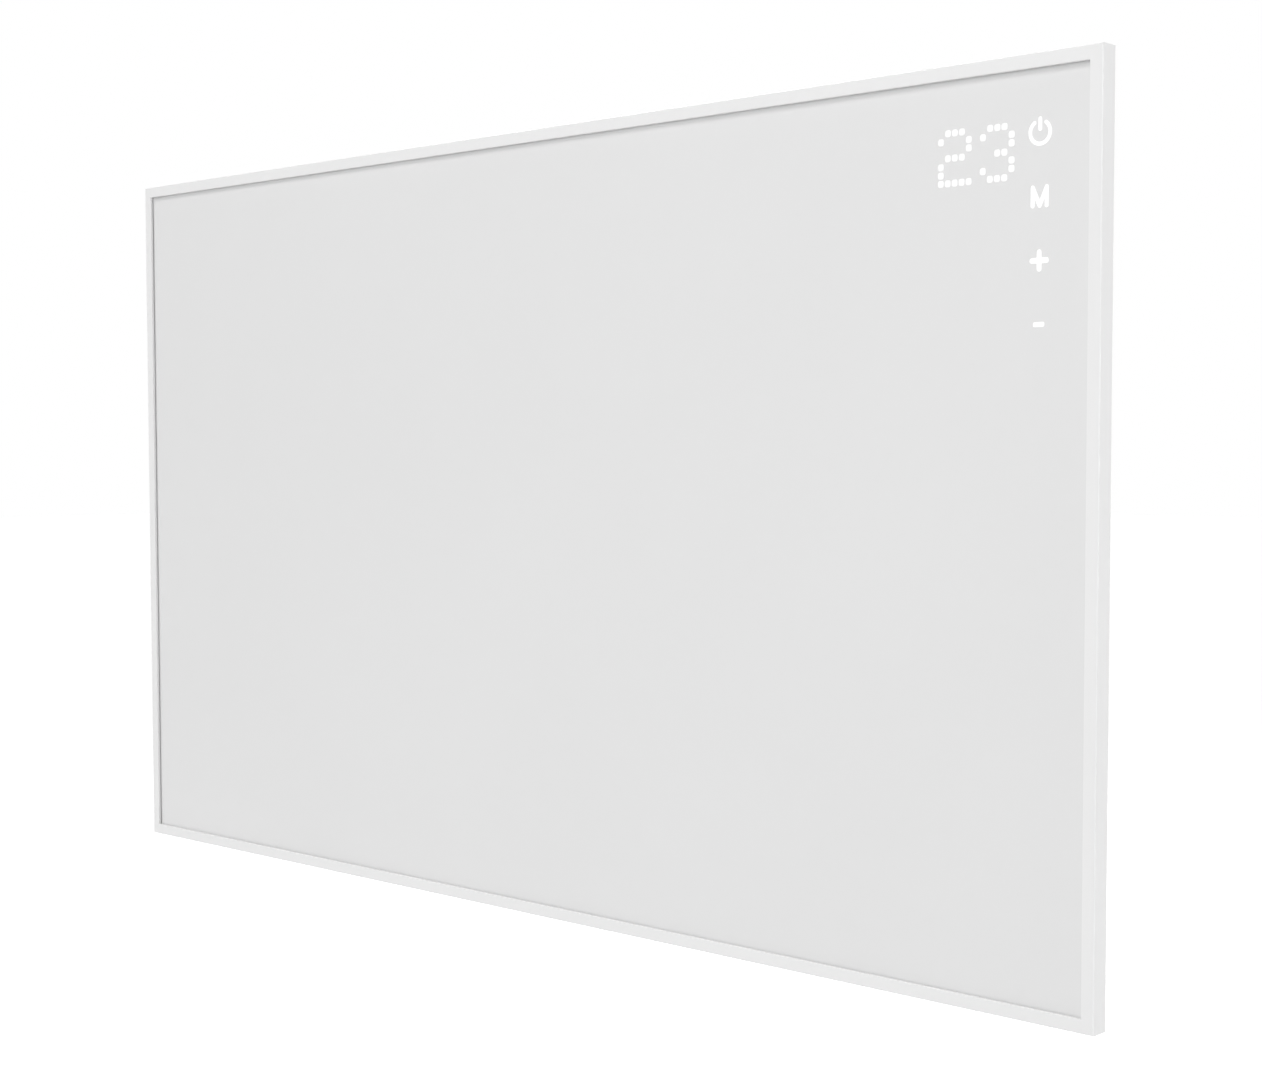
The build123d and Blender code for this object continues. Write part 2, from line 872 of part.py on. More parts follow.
def rear_cover():
    """Steel sheet that closes the frame from behind, with pressed beads."""
    cover = slab(sheet_outline(cover_edge), cover_front, cover_back)
    for x in bead_places():
        raised = SlotOverall(bead_length, bead_width, rotation=90)
        hollow = SlotOverall(bead_length - 2 * cover_thickness, bead_width - 2 * cover_thickness, rotation=90)
        cover = cover + slab(Pos(x, 0) * raised, cover_front, cover_back + bead_height)
        cover = cover - slab(Pos(x, 0) * hollow, cover_front, cover_front + bead_height)
    cut_u, cut_v = display_cut()
    window_u, window_v = lead_window()
    through = (cover_front, cover_back)
    tools = [block(cut_u, cut_v, through),
             block(window_u, window_v, through),
             pin_y(earth_u, earth_v, earth_shank_radius + screw_hole_clearance, *through)]
    flange_bore = box_screw_radius + screw_hole_clearance
    tools += [pin_y(u, v, flange_bore, *through) for u, v in flange_screw_places()]
    tools += [pin_y(u, v, rivet_radius + screw_hole_clearance, *through) for u, v in rivet_places()]
    for _, side_length, reach, turn, count in sides():
        for along in cover_screw_places(side_length, count):
            hole = Pos(along, y_at((cover_front + cover_back) / 2), reach - cover_screw_u) * Rot(90, 0, 0)
            hole = hole * Cylinder(cover_screw_radius + screw_hole_clearance, 2 * cover_thickness)
            tools.append(Rot(0, turn, 0) * hole)
    return drilled(cover, tools)


def rear_cover_screws():
    screws = []
    for _, side_length, reach, turn, count in sides():
        for along in cover_screw_places(side_length, count):
            screw = rear_screw(half_width - along, half_height - reach + cover_screw_u, cover_back,
                               cover_screw_radius, cover_screw_length,
                               cover_screw_head_radius, cover_screw_head_height)
            screws.append(Rot(0, turn, 0) * screw)
    return group(screws)


# ---------------------------------------------------------------- display board

def light_mask():
    """Black comb that keeps each dot's light apart."""
    cells = dot_places(False)
    outline = range_sketch((last_column_inset - mask_reach, first_column_u + mask_reach),
                           (first_row_v - mask_reach, last_row_v + mask_reach))
    comb = outline - square_marks(cells, dot_size, dot_corner_radius / 2)
    return slab(comb, glass_back, display_board_front)


def display_leds():
    leds = [block((u - led_size / 2, u + led_size / 2), (v - led_size / 2, v + led_size / 2),
                  (display_board_front - led_height, display_board_front))
            for u, v in dot_places(False)]
    return group(leds)


def board_screw_places():
    right = board_right + board_screw_inset
    left = board_left - board_screw_inset
    top = board_top + board_screw_inset
    bottom = board_bottom - board_screw_inset
    return [(right, top), (left, top), (right, bottom), (left, bottom)]


def display_board():
    board = block((board_right, board_left), (board_top, board_bottom),
                  (display_board_front, display_board_back))
    holes = [pin_y(u, v, board_screw_radius + screw_hole_clearance, display_board_front, display_board_back)
             for u, v in board_screw_places()]
    return drilled(board, holes)


def touch_springs():
    """Coil springs from the board to the glass, one behind each touch mark."""
    turns_height = mask_depth - 2 * spring_wire_radius
    springs = []
    for step in range(key_count):
        coil = Helix(spring_pitch, turns_height, spring_radius)
        start = Plane(origin=coil @ 0, z_dir=coil % 0)
        wire = sweep(start * Circle(spring_wire_radius), path=coil)
        seat = place(key_column_u, first_key_v + step * key_pitch, display_board_front - spring_wire_radius)
        springs.append(Pos(seat) * Rot(90, 0, 0) * wire)
    return group(springs)


def control_chips():
    """Touch controller beside the keys and two display drivers below the number."""
    side = chip_size / 2
    chip_v = last_row_v + mask_reach + board_margin
    number_u = (first_column_u + last_column_inset) / 2
    places = [(key_column_u + touch_chip_offset, last_key_v - key_pitch / 2),
              (number_u - driver_spacing / 2, chip_v), (number_u + driver_spacing / 2, chip_v)]
    front = display_board_front - chip_height
    return group([block((u - side, u + side), (v - side, v + side), (front, display_board_front))
                  for u, v in places])


def link_place():
    """Middle of the pin link between the two boards."""
    return (power_board_right + link_u_offset, power_board_top + link_v_offset)


def link_pin_places():
    u, v = link_place()
    return [(u + (step - (link_pin_count - 1) / 2) * link_pin_pitch, v) for step in range(link_pin_count)]


def link_ranges(grow):
    u, v = link_place()
    half = link_pin_count * link_pin_pitch / 2 + grow
    return ((u - half, u + half), (v - link_header_width / 2 - grow, v + link_header_width / 2 + grow))


def link_header():
    """Plastic strip on the display board and its pins, which reach the power board."""
    strip = block(*link_ranges(0), (display_board_back, display_board_back + link_header_height))
    half = link_pin_size / 2
    pins = [block((u - half, u + half), (v - half, v + half), (display_board_back, power_board_front))
            for u, v in link_pin_places()]
    return group([drilled(strip, pins)] + pins)


# ---------------------------------------------------------------- control box

def post_places():
    """Lid screw posts in the four corners of the box."""
    right = box_right + post_inset
    left = box_left - post_inset
    top = box_top + post_inset
    bottom = box_bottom - post_inset
    return [(right, top), (left, top), (right, bottom), (left, bottom)]


def power_board_screw_places():
    right = power_board_right + power_screw_inset
    left = power_board_left - power_screw_inset
    top = power_board_top + power_screw_inset
    bottom = power_board_bottom - power_screw_inset
    return [(right, top), (left, top), (right, bottom), (left, bottom)]


def block_screw_place():
    return (live_u - pole_pitch / 2, (block_top + block_bottom) / 2)


def wall_vents(v):
    """Slots in the top or bottom wall of the box."""
    first = (power_board_right + power_board_left - (vent_count - 1) * vent_pitch) / 2
    half = vent_width / 2
    depth = ((floor_back + lid_front - vent_length) / 2, (floor_back + lid_front + vent_length) / 2)
    return [block((first + step * vent_pitch - half, first + step * vent_pitch + half), v, depth)
            for step in range(vent_count)]


def switch_hole():
    half_height_range = housing_height / 2 + housing_clearance
    half_depth_range = housing_depth / 2 + housing_clearance
    return block((box_right - box_wall, inner_right + box_wall),
                 (switch_v - half_height_range, switch_v + half_height_range),
                 (wire_plane - half_depth_range, wire_plane + half_depth_range))


def control_box():
    """Moulded tray screwed to the rear cover: floor and flange against the cover, open to the wall."""
    flange = range_sketch((box_right - box_flange, box_left + box_flange),
                          (box_top - box_flange, box_bottom + box_flange), box_corner_radius)
    outside = range_sketch((box_right, box_left), (box_top, box_bottom), box_corner_radius)
    inside = range_sketch((inner_right, inner_left), (inner_top, inner_bottom), box_corner_radius - box_wall)
    tray = slab(flange, cover_back, floor_back) + slab(outside - inside, floor_back, lid_front)
    for u, v in post_places():
        tray = tray + pin_y(u, v, post_radius, floor_back, lid_front)
    for u, v in power_board_screw_places():
        tray = tray + pin_y(u, v, board_pillar_radius, floor_back, power_board_front)
    u, v = block_screw_place()
    tray = tray + pin_y(u, v, board_pillar_radius, floor_back, floor_back + terminal_block_lift)
    for u, v in board_screw_places():
        tray = tray + pin_y(u, v, board_pillar_radius, display_board_back, floor_back + board_pillar_height)
    board_bore = board_screw_radius + screw_hole_clearance
    post_bore = box_screw_radius + screw_hole_clearance
    window_u, window_v = lead_window()
    through = (cover_back, floor_back)
    tools = [pin_y(u, v, post_bore, lid_front - box_screw_length, lid_front) for u, v in post_places()]
    tools += [pin_y(u, v, board_bore, cover_back + box_floor / 2, power_board_front)
              for u, v in power_board_screw_places() + [block_screw_place()]]
    tools += [pin_y(u, v, board_bore, display_board_back, display_board_front + board_screw_length)
              for u, v in board_screw_places()]
    tools += [pin_y(u, v, post_bore, *through) for u, v in flange_screw_places()]
    tools += [block(*link_ranges(link_window_margin), through), block(window_u, window_v, through),
              pin_y(earth_u, earth_v, earth_hole_radius, *through), switch_hole(),
              pin_z(gland_u, wire_plane, gland_thread_radius + gland_bore_clearance,
                    inner_bottom, box_bottom),
              pin_z(sensor_u, wire_plane, sensor_radius + sensor_clearance, inner_bottom, box_bottom)]
    tools += wall_vents((box_top, inner_top))
    return drilled(tray, tools)


def control_box_lid():
    """Flat lid over the tray, with cooling slots over the power board."""
    outline = range_sketch((box_right, box_left), (box_top, box_bottom), box_corner_radius)
    lid = slab(outline, lid_front, lid_back)
    first = (power_board_right + power_board_left - (vent_count - 1) * vent_pitch) / 2
    middle = z_at((power_board_top + power_board_bottom) / 2)
    slots = [slab(Pos(x_at(first + step * vent_pitch), middle) * SlotOverall(2 * vent_length, vent_width, 90),
                  lid_front, lid_back)
             for step in range(vent_count)]
    bore = box_screw_radius + screw_hole_clearance
    holes = [pin_y(u, v, bore, lid_front, lid_back) for u, v in post_places()]
    return drilled(lid, slots + holes)


def control_box_screws():
    """Screws through the flange into the rear cover, and through the lid into the posts."""
    seats = [(u, v, floor_back) for u, v in flange_screw_places()]
    seats += [(u, v, lid_back) for u, v in post_places()]
    return group([rear_screw(u, v, seat, box_screw_radius, box_screw_length,
                             box_screw_head_radius, box_screw_head_height) for u, v, seat in seats])


# ---------------------------------------------------------------- power board

def power_board():
    board = block((power_board_right, power_board_left), (power_board_top, power_board_bottom),
                  (power_board_front, power_board_back))
    holes = [pin_y(u, v, board_screw_radius + screw_hole_clearance, power_board_front, power_board_back)
             for u, v in power_board_screw_places()]
    return drilled(board, holes)


def board_screws():
    """Screws of the display board, driven from the glass side, the power board and the terminal block."""
    screws = []
    for u, v in board_screw_places():
        head_front = display_board_front - board_screw_head_height
        head = pin_y(u, v, board_screw_head_radius, head_front, display_board_front)
        shank = pin_y(u, v, board_screw_radius, display_board_front, display_board_front + board_screw_length)
        screws.append(head + shank - cross_recess(u, v, head_front + recess_depth))
    seats = [(u, v, power_board_back) for u, v in power_board_screw_places()]
    seats.append((*block_screw_place(), floor_back + terminal_block_lift + entry_height))
    screws += [rear_screw(u, v, seat, board_screw_radius, board_screw_length,
                          board_screw_head_radius, board_screw_head_height) for u, v, seat in seats]
    return group(screws)


def board_box(corner, size):
    """A component on the rear of the power board, its corner counted from the board's right and top edges."""
    right = power_board_right + corner[0]
    top = power_board_top + corner[1]
    depth = (power_board_back, power_board_back + size[2])
    return block((right, right + size[0]), (top, top + size[1]), depth)


def power_supply_module():
    """Potted converter that feeds the electronics."""
    body = board_box(supply_place, supply_size)
    return fillet(body.edges().filter_by(Axis.Y), supply_edge_radius)


def relay():
    body = board_box(relay_place, relay_size)
    return fillet(body.edges().filter_by(Axis.Y), relay_edge_radius)


def fuse():
    """Glass fuse with metal end caps, held on the board by a clip at each cap."""
    u = power_board_right + fuse_u_offset
    v = power_board_top + fuse_v_offset
    axis_depth = power_board_back + fuse_lift
    half_tube = fuse_tube_length / 2
    pieces = [pin_x(v, axis_depth, fuse_tube_radius, u - half_tube, u + half_tube)]
    for side in (-1, 1):
        near = u + side * half_tube
        far = near + side * fuse_cap_length
        pieces.append(pin_x(v, axis_depth, fuse_cap_radius, min(near, far), max(near, far)))
        middle = (near + far) / 2
        reach = (middle - fuse_clip_width / 2, middle + fuse_clip_width / 2)
        outside = fuse_cap_radius + fuse_clip_sheet
        clip = block(reach, (v - outside, v + outside), (power_board_back, axis_depth + fuse_cap_radius / 2))
        mouth = (v - fuse_cap_radius, v + fuse_cap_radius)
        clip = clip - block(reach, mouth, (axis_depth, axis_depth + outside))
        pieces.append(clip - pin_x(v, axis_depth, fuse_cap_radius, reach[0], reach[1]))
    return group(pieces)


def wireless_module():
    """Small radio board with its shield can."""
    return board_box(wireless_place, wireless_size) + board_box(shield_place, shield_size)


def buzzer():
    """Round sounder with its sound hole."""
    u = power_board_right + buzzer_place[0]
    v = power_board_top + buzzer_place[1]
    back = power_board_back + buzzer_height
    return pin_y(u, v, buzzer_radius, power_board_back, back) - pin_y(
        u, v, buzzer_hole_radius, back - buzzer_hole_depth, back)


def input_poles():
    return [live_u, neutral_u]


def output_poles():
    return [output_near_u, output_far_u]


def board_terminals():
    """Screw terminals for the mains and the film, and the sensor's header, on the board's lower edge."""
    top = power_board_bottom - board_terminal_depth
    depth = (power_board_back, power_board_back + board_terminal_height)
    clamp = clamp_screw_radius + screw_hole_clearance
    pieces = []
    for poles in (input_poles(), output_poles()):
        body = block((poles[0] - pole_margin, poles[-1] + pole_margin), (top, power_board_bottom), depth)
        tools = [pin_z(u, wire_plane, entry_radius, power_board_bottom - entry_depth, power_board_bottom)
                 for u in poles]
        tools += [pin_y(u, top + board_terminal_depth / 2, clamp, depth[1] - clamp_screw_depth, depth[1])
                  for u in poles]
        pieces.append(drilled(body, tools))
    half = sensor_header_width / 2
    header = block((sensor_u - half, sensor_u + half),
                   (power_board_bottom - sensor_header_depth, power_board_bottom),
                   (power_board_back, power_board_back + sensor_header_height))
    pieces.append(header - pin_z(sensor_u, wire_plane, sensor_lead_radius + screw_hole_clearance,
                                 power_board_bottom - entry_depth, power_board_bottom))
    return group(pieces)


def block_depths():
    front = floor_back + terminal_block_lift
    return (front, front + terminal_block_height)


def block_poles():
    return [earth_pole_u, live_u, neutral_u]


def terminal_block():
    """Mains terminal block: a pillar for each pole, open above and below."""
    depth = block_depths()
    body = block((earth_pole_u - pole_margin, neutral_u + pole_margin), (block_top, block_bottom), depth)
    clamp = clamp_screw_radius + screw_hole_clearance
    tools = []
    for u in block_poles():
        for v in (block_top, block_bottom - entry_depth):
            tools.append(pin_z(u, wire_plane, entry_radius, v, v + entry_depth))
        for v in clamp_rows():
            tools.append(pin_y(u, v, clamp, depth[1] - clamp_screw_depth, depth[1]))
    u, v = block_screw_place()
    tools.append(pin_y(u, v, board_screw_radius + screw_hole_clearance, *depth))
    sink_radius = board_screw_head_radius + screw_hole_clearance
    tools.append(pin_y(u, v, sink_radius, depth[0] + entry_height, depth[1]))
    return drilled(body, tools)


def clamp_rows():
    """Rows of clamp screws on the mains terminal block."""
    inset = entry_depth + clamp_screw_radius / 2
    return (block_top + inset, block_bottom - inset)


def clamp_screw(u, v, back):
    """Slotted screw in the rear face of a terminal."""
    screw = pin_y(u, v, clamp_screw_radius, back - clamp_screw_depth, back)
    return screw - block((u - clamp_screw_radius, u + clamp_screw_radius),
                         (v - recess_width / 2, v + recess_width / 2), (back - recess_depth, back))


def terminal_screws():
    board_row = power_board_bottom - board_terminal_depth / 2
    screws = [clamp_screw(u, board_row, power_board_back + board_terminal_height)
              for u in input_poles() + output_poles()]
    screws += [clamp_screw(u, v, block_depths()[1]) for u in block_poles() for v in clamp_rows()]
    return group(screws)


# ---------------------------------------------------------------- leads

def lead(points, radius, bend):
    """A round insulated lead through a list of u, v, d points, with one bend radius."""
    corners = [place(*point) for point in points]
    path = Line(*corners) if len(corners) == 2 else FilletPolyline(*corners, radius=bend)
    start = Plane(origin=path @ 0, z_dir=path % 0)
    return sweep(start * Circle(radius), path=path)


def blade_v(side):
    """Height of a switch blade: the live input is the lower one, the switched output the upper one."""
    return switch_v + side * blade_spacing / 2


def mains_leads():
    """Live to the switch, live back from the switch, and neutral."""
    depth = wire_plane
    board_end = power_board_bottom - entry_depth
    block_end = block_top + entry_depth
    third = terminal_block_gap / 4
    to_switch_u = sleeve_end + wire_room / 2 - pole_pitch / 4
    back_u = to_switch_u + pole_pitch / 2
    live_in = [(live_u, block_end, depth), (live_u, block_top - third, depth),
               (to_switch_u, block_top - third, depth), (to_switch_u, blade_v(1), depth),
               (sleeve_end, blade_v(1), depth)]
    live_out = [(live_u, board_end, depth), (live_u, power_board_bottom + third, depth),
                (back_u, power_board_bottom + third, depth), (back_u, blade_v(-1), depth),
                (sleeve_end, blade_v(-1), depth)]
    neutral = [(neutral_u, block_end, depth), (neutral_u, board_end, depth)]
    return group([lead(points, lead_radius, lead_bend) for points in (live_in, live_out, neutral)])


def heater_leads():
    """From each busbar terminal up to the unheated zone and back through the window to the power board."""
    window_v = (window_top + window_bottom) / 2
    board_end = power_board_bottom - entry_depth
    (near_u, near_v), (far_u, far_v) = terminal_places()
    cutout_top, cutout_bottom = cutout_ranges(0)[1]
    near = [(near_u, near_v - barrel_length, lead_depth), (near_u, window_v, lead_depth),
            (near_u, window_v, wire_plane), (near_u, board_end, wire_plane)]
    far = [(far_u, cutout_top, lead_depth), (far_u, window_v, lead_depth),
           (far_u, window_v, wire_plane), (far_u, board_end, wire_plane)]
    below = [(far_u, far_v - barrel_length, lead_depth), (far_u, cutout_bottom, lead_depth)]
    return group([lead(points, lead_radius, deep_lead_bend) for points in (near, far, below)])


def earth_lead():
    down = block_bottom + (earth_tag_top() - block_bottom) / 2
    points = [(earth_pole_u, block_bottom - entry_depth, wire_plane), (earth_pole_u, down, wire_plane),
              (earth_u, down, wire_plane), (earth_u, earth_tag_top(), wire_plane)]
    return lead(points, lead_radius, lead_bend)


def room_sensor():
    """Air sensor capsule through the bottom wall of the box, with a flange and its lead inside."""
    tip = box_bottom + sensor_outside
    capsule = pin_z(sensor_u, wire_plane, sensor_radius, inner_bottom - sensor_inside, tip)
    capsule = fillet(capsule.edges().sort_by(Axis.Z)[0], sensor_tip_radius)
    flange = pin_z(sensor_u, wire_plane, sensor_flange_radius, inner_bottom - sensor_flange, inner_bottom)
    run = pin_z(sensor_u, wire_plane, sensor_lead_radius, power_board_bottom - entry_depth,
                inner_bottom - sensor_inside)
    return group([capsule + flange, run])


# ---------------------------------------------------------------- earth pillar

def tag_plane():
    """Depth of the earth tag's front face: its barrel carries the lead at the wires' depth."""
    return wire_plane - lead_radius - earth_tag_thickness / 2


def earth_tag_top():
    return earth_v - earth_head_radius - barrel_length - earth_tag_thickness


def earth_pillar():
    """Hexagon pillar clinched in the rear cover, tapped from behind."""
    outline = Pos(x_at(earth_u), z_at(earth_v)) * RegularPolygon(earth_pillar_radius, 6)
    pillar = slab(outline, cover_back, tag_plane())
    shank = pin_y(earth_u, earth_v, earth_shank_radius, cover_front, cover_back)
    bore = pin_y(earth_u, earth_v, earth_bore_radius, tag_plane() - earth_screw_length, tag_plane())
    return pillar + shank - bore


def earth_tag():
    """Ring tag with a crimp barrel."""
    front = tag_plane()
    back = front + earth_tag_thickness
    ring = pin_y(earth_u, earth_v, earth_pillar_radius, front, back)
    top = earth_tag_top()
    tongue = block((earth_u - lead_radius, earth_u + lead_radius), (top, earth_v), (front, back))
    barrel = pin_z(earth_u, wire_plane, lead_radius + earth_tag_thickness / 2, top, top + barrel_length)
    hole = pin_y(earth_u, earth_v, earth_bore_radius, front, back)
    return ring + tongue + barrel - hole


def earth_screw():
    seat = tag_plane() + earth_tag_thickness
    return rear_screw(earth_u, earth_v, seat, earth_screw_radius, earth_screw_length,
                      earth_head_radius, earth_head_height)


# ---------------------------------------------------------------- cable gland

def hexagon_z(u, d, flat_radius, top, bottom):
    """A hexagon prism along the height, with a flat towards the wall."""
    middle = place(u, top, d)
    base = Plane(origin=middle, x_dir=(1, 0, 0), z_dir=(0, 0, -1))
    hexagon = RegularPolygon(flat_radius, 6, major_radius=False, rotation=30)
    return extrude(base * hexagon, amount=bottom - top)


gland_cup_radius = cord_bore_radius + seal_wall + gland_bore_clearance
gland_cup_outside = gland_cup_radius + gland_wall
gland_cup_end = box_bottom + gland_collar + gland_cup_length - gland_nut_gap
gland_end_wall = box_bottom + gland_collar + gland_cup_length


def gland_body():
    """Threaded body: a thread through the wall, a hexagon collar and a cup for the seal."""
    collar_end = box_bottom + gland_collar
    body = hexagon_z(gland_u, wire_plane, gland_flat_radius, box_bottom, collar_end)
    body = body + pin_z(gland_u, wire_plane, gland_thread_radius,
                        inner_bottom - gland_thread_inside, box_bottom)
    body = body + pin_z(gland_u, wire_plane, gland_cup_outside, collar_end, gland_cup_end)
    bore = pin_z(gland_u, wire_plane, cord_bore_radius + gland_bore_gap,
                 inner_bottom - gland_thread_inside, collar_end)
    cup = pin_z(gland_u, wire_plane, gland_cup_radius, collar_end, gland_cup_end)
    return drilled(body, [bore, cup])


def gland_locknut():
    nut = hexagon_z(gland_u, wire_plane, gland_flat_radius, inner_bottom - locknut_thickness, inner_bottom)
    return nut - pin_z(gland_u, wire_plane, gland_thread_radius + gland_bore_clearance,
                       inner_bottom - locknut_thickness, inner_bottom)


def gland_seal():
    """Rubber sleeve that grips the round lead."""
    collar_end = box_bottom + gland_collar
    outside = pin_z(gland_u, wire_plane, cord_bore_radius + seal_wall, collar_end, gland_end_wall)
    return outside - pin_z(gland_u, wire_plane, cord_bore_radius, collar_end, gland_end_wall)


def gland_nut():
    """Dome nut over the seal."""
    start = box_bottom + gland_collar + gland_nut_gap
    end = gland_end_wall + gland_nut_end
    nut = hexagon_z(gland_u, wire_plane, gland_flat_radius, start, gland_end_wall)
    dome = pin_z(gland_u, wire_plane, gland_flat_radius, gland_end_wall, end)
    nut = nut + fillet(dome.edges().sort_by(Axis.Z)[0], gland_dome_radius)
    cavity = pin_z(gland_u, wire_plane, gland_cup_outside + gland_bore_clearance, start, gland_end_wall)
    opening = pin_z(gland_u, wire_plane, cord_bore_radius + gland_nut_wall / 2, gland_end_wall, end)
    return drilled(nut, [cavity, opening])


# ---------------------------------------------------------------- rocker switch

rocker_radius = rocker_cavity_height / 2 - rocker_gap - pivot_clearance
rocker_half_depth = rocker_cavity_depth / 2 - rocker_gap


def depth_range(half):
    return (wire_plane - half, wire_plane + half)


def switch_housing():
    """Snap-in body with a bezel outside the wall and a well for the rocker."""
    bezel = block((box_right - bezel_thickness, box_right),
                  (switch_v - bezel_height / 2, switch_v + bezel_height / 2), depth_range(bezel_depth / 2))
    bezel = fillet(bezel.faces().sort_by(Axis.X)[-1].edges(), bezel_edge_radius)
    body = block((box_right, box_right + housing_length),
                 (switch_v - housing_height / 2, switch_v + housing_height / 2),
                 depth_range(housing_depth / 2))
    well = block((box_right - bezel_thickness, box_right - bezel_thickness + rocker_cavity_length),
                 (switch_v - rocker_cavity_height / 2, switch_v + rocker_cavity_height / 2),
                 depth_range(rocker_cavity_depth / 2))
    pivot_reach = rocker_half_depth + pivot_length + rocker_gap + pivot_end_gap
    pivot_bore = Pos(place(pivot_u, switch_v, wire_plane)) * Rot(90, 0, 0) * Cylinder(
        pivot_radius + pivot_clearance, 2 * pivot_reach)
    slots = [blade_block(side, blade_clearance) for side in (-1, 1)]
    return drilled(bezel + body, [well, pivot_bore] + slots)


def blade_block(side, grow):
    """A blade of the switch, or its slot when grown."""
    v = blade_v(side)
    half_width_range = blade_width / 2 + grow
    half_thick = blade_thickness / 2 + grow
    root = box_right + housing_length - blade_root
    return block((root, box_right + housing_length + blade_length),
                 (v - half_thick, v + half_thick), depth_range(half_width_range))


def switch_blades():
    return group([blade_block(side, 0.0) for side in (-1, 1)])


def spade_sleeves():
    """Push-on sleeves over the blades, each crimped to its lead."""
    sleeves = []
    for side in (-1, 1):
        v = blade_v(side)
        half_high = blade_thickness / 2 + sleeve_wall
        body = block((sleeve_end - sleeve_tail - sleeve_overlap, sleeve_end), (v - half_high, v + half_high),
                     depth_range(blade_width / 2 + sleeve_wall))
        sleeves.append(body - blade_block(side, blade_clearance))
    return group(sleeves)


def switch_rocker():
    """Rocker at rest with its upper half pressed in; it turns on two short pivots in the housing."""
    body = Cylinder(rocker_radius, 2 * rocker_half_depth)
    body = Rot(90, 0, 0) * body
    reach = 2 * rocker_radius
    rise = reach * tangent(rocker_angle)
    keep = Polygon((-rocker_base, -reach), (rocker_waist + rise, -reach), (rocker_waist, 0),
                   (rocker_waist + rise, reach), (-rocker_base, reach))
    keep = extrude(Plane.XZ * keep, amount=rocker_half_depth, both=True)
    pivots = Rot(90, 0, 0) * Cylinder(pivot_radius, 2 * (rocker_half_depth + rocker_gap + pivot_length))
    rocker = (body & keep) + pivots
    return Pos(place(pivot_u, switch_v, wire_plane)) * Rot(0, -rocker_angle, 0) * rocker


def tangent(angle):
    """Rise over run of a slope given in degrees."""
    ray = Vector(1, 0).rotate(Axis.Z, angle)
    return ray.Y / ray.X


# ---------------------------------------------------------------- wall brackets

def bracket_centres():
    """Name and centre of each wall bracket."""
    x = bracket_spacing_x / 2
    z = bracket_spacing_z / 2
    return (("upper_left", -x, z), ("upper_right", x, z), ("lower_left", -x, -z), ("lower_right", x, -z))


def rivet_places():
    """Rivets through the bracket flanges, as u and v."""
    offset = (bracket_top_width + bracket_flange) / 2
    return [(half_width - x - side * offset, half_height - z - end * rivet_spread)
            for _, x, z in bracket_centres() for side in (-1, 1) for end in (-1, 1)]


def bracket_profile():
    """Hat section seen from above: flanges on the cover, top against the wall."""
    half_top = bracket_top_width / 2
    out = half_top + bracket_flange
    base = y_at(cover_back)
    inner_top_y = -bracket_sheet
    inner = half_top - bracket_sheet
    points = [(-out, base), (-inner, base), (-inner, inner_top_y), (inner, inner_top_y), (inner, base),
              (out, base), (out, base + bracket_sheet), (half_top, base + bracket_sheet), (half_top, 0),
              (-half_top, 0), (-half_top, base + bracket_sheet), (-out, base + bracket_sheet)]
    section = Polygon(*points)
    outer_bends = [(half_top, 0), (-half_top, 0), (inner, base), (-inner, base)]
    inner_bends = [(inner, inner_top_y), (-inner, inner_top_y),
                   (half_top, base + bracket_sheet), (-half_top, base + bracket_sheet)]
    outer_radius = bracket_bend_radius + bracket_sheet
    for bends, radius in ((outer_bends, outer_radius), (inner_bends, bracket_bend_radius)):
        for point in bends:
            section = fillet(section.vertices().sort_by_distance((*point, 0))[:1], radius)
    return section


def wall_bracket(x, z):
    """Pressed steel hat with a keyhole: round entry below, slot above."""
    hat = extrude(Pos(0, 0, z - bracket_height / 2) * bracket_profile(), amount=bracket_height)
    hat = Pos(x, 0, 0) * hat
    u = half_width - x
    v = half_height - z
    back = wall_plane
    entry = pin_y(u, v, keyhole_radius, back - bracket_sheet, back)
    slot_end = v - keyhole_slot_rise + keyhole_slot_width / 2
    slot = block((u - keyhole_slot_width / 2, u + keyhole_slot_width / 2), (slot_end, v),
                 (back - bracket_sheet, back))
    slot = slot + pin_y(u, slot_end, keyhole_slot_width / 2, back - bracket_sheet, back)
    tools = [entry, slot]
    bore = rivet_radius + screw_hole_clearance
    tools += [pin_y(hole_u, hole_v, bore, cover_back, cover_back + bracket_sheet)
              for hole_u, hole_v in rivet_places()]
    return drilled(hat, tools)


def bracket_rivets():
    """Blind rivets: a low head on the flange and a bulb behind the cover sheet."""
    seat = cover_back + bracket_sheet
    rivets = []
    for u, v in rivet_places():
        shank = pin_y(u, v, rivet_radius, cover_front, seat)
        head = pin_y(u, v, rivet_head_radius, seat, seat + rivet_head_height)
        head = fillet(head.edges().sort_by(Axis.Y)[-1], rivet_edge_radius)
        tail = pin_y(u, v, rivet_tail_radius, cover_front - rivet_tail_length, cover_front)
        rivets.append(shank + head + tail)
    return group(rivets)


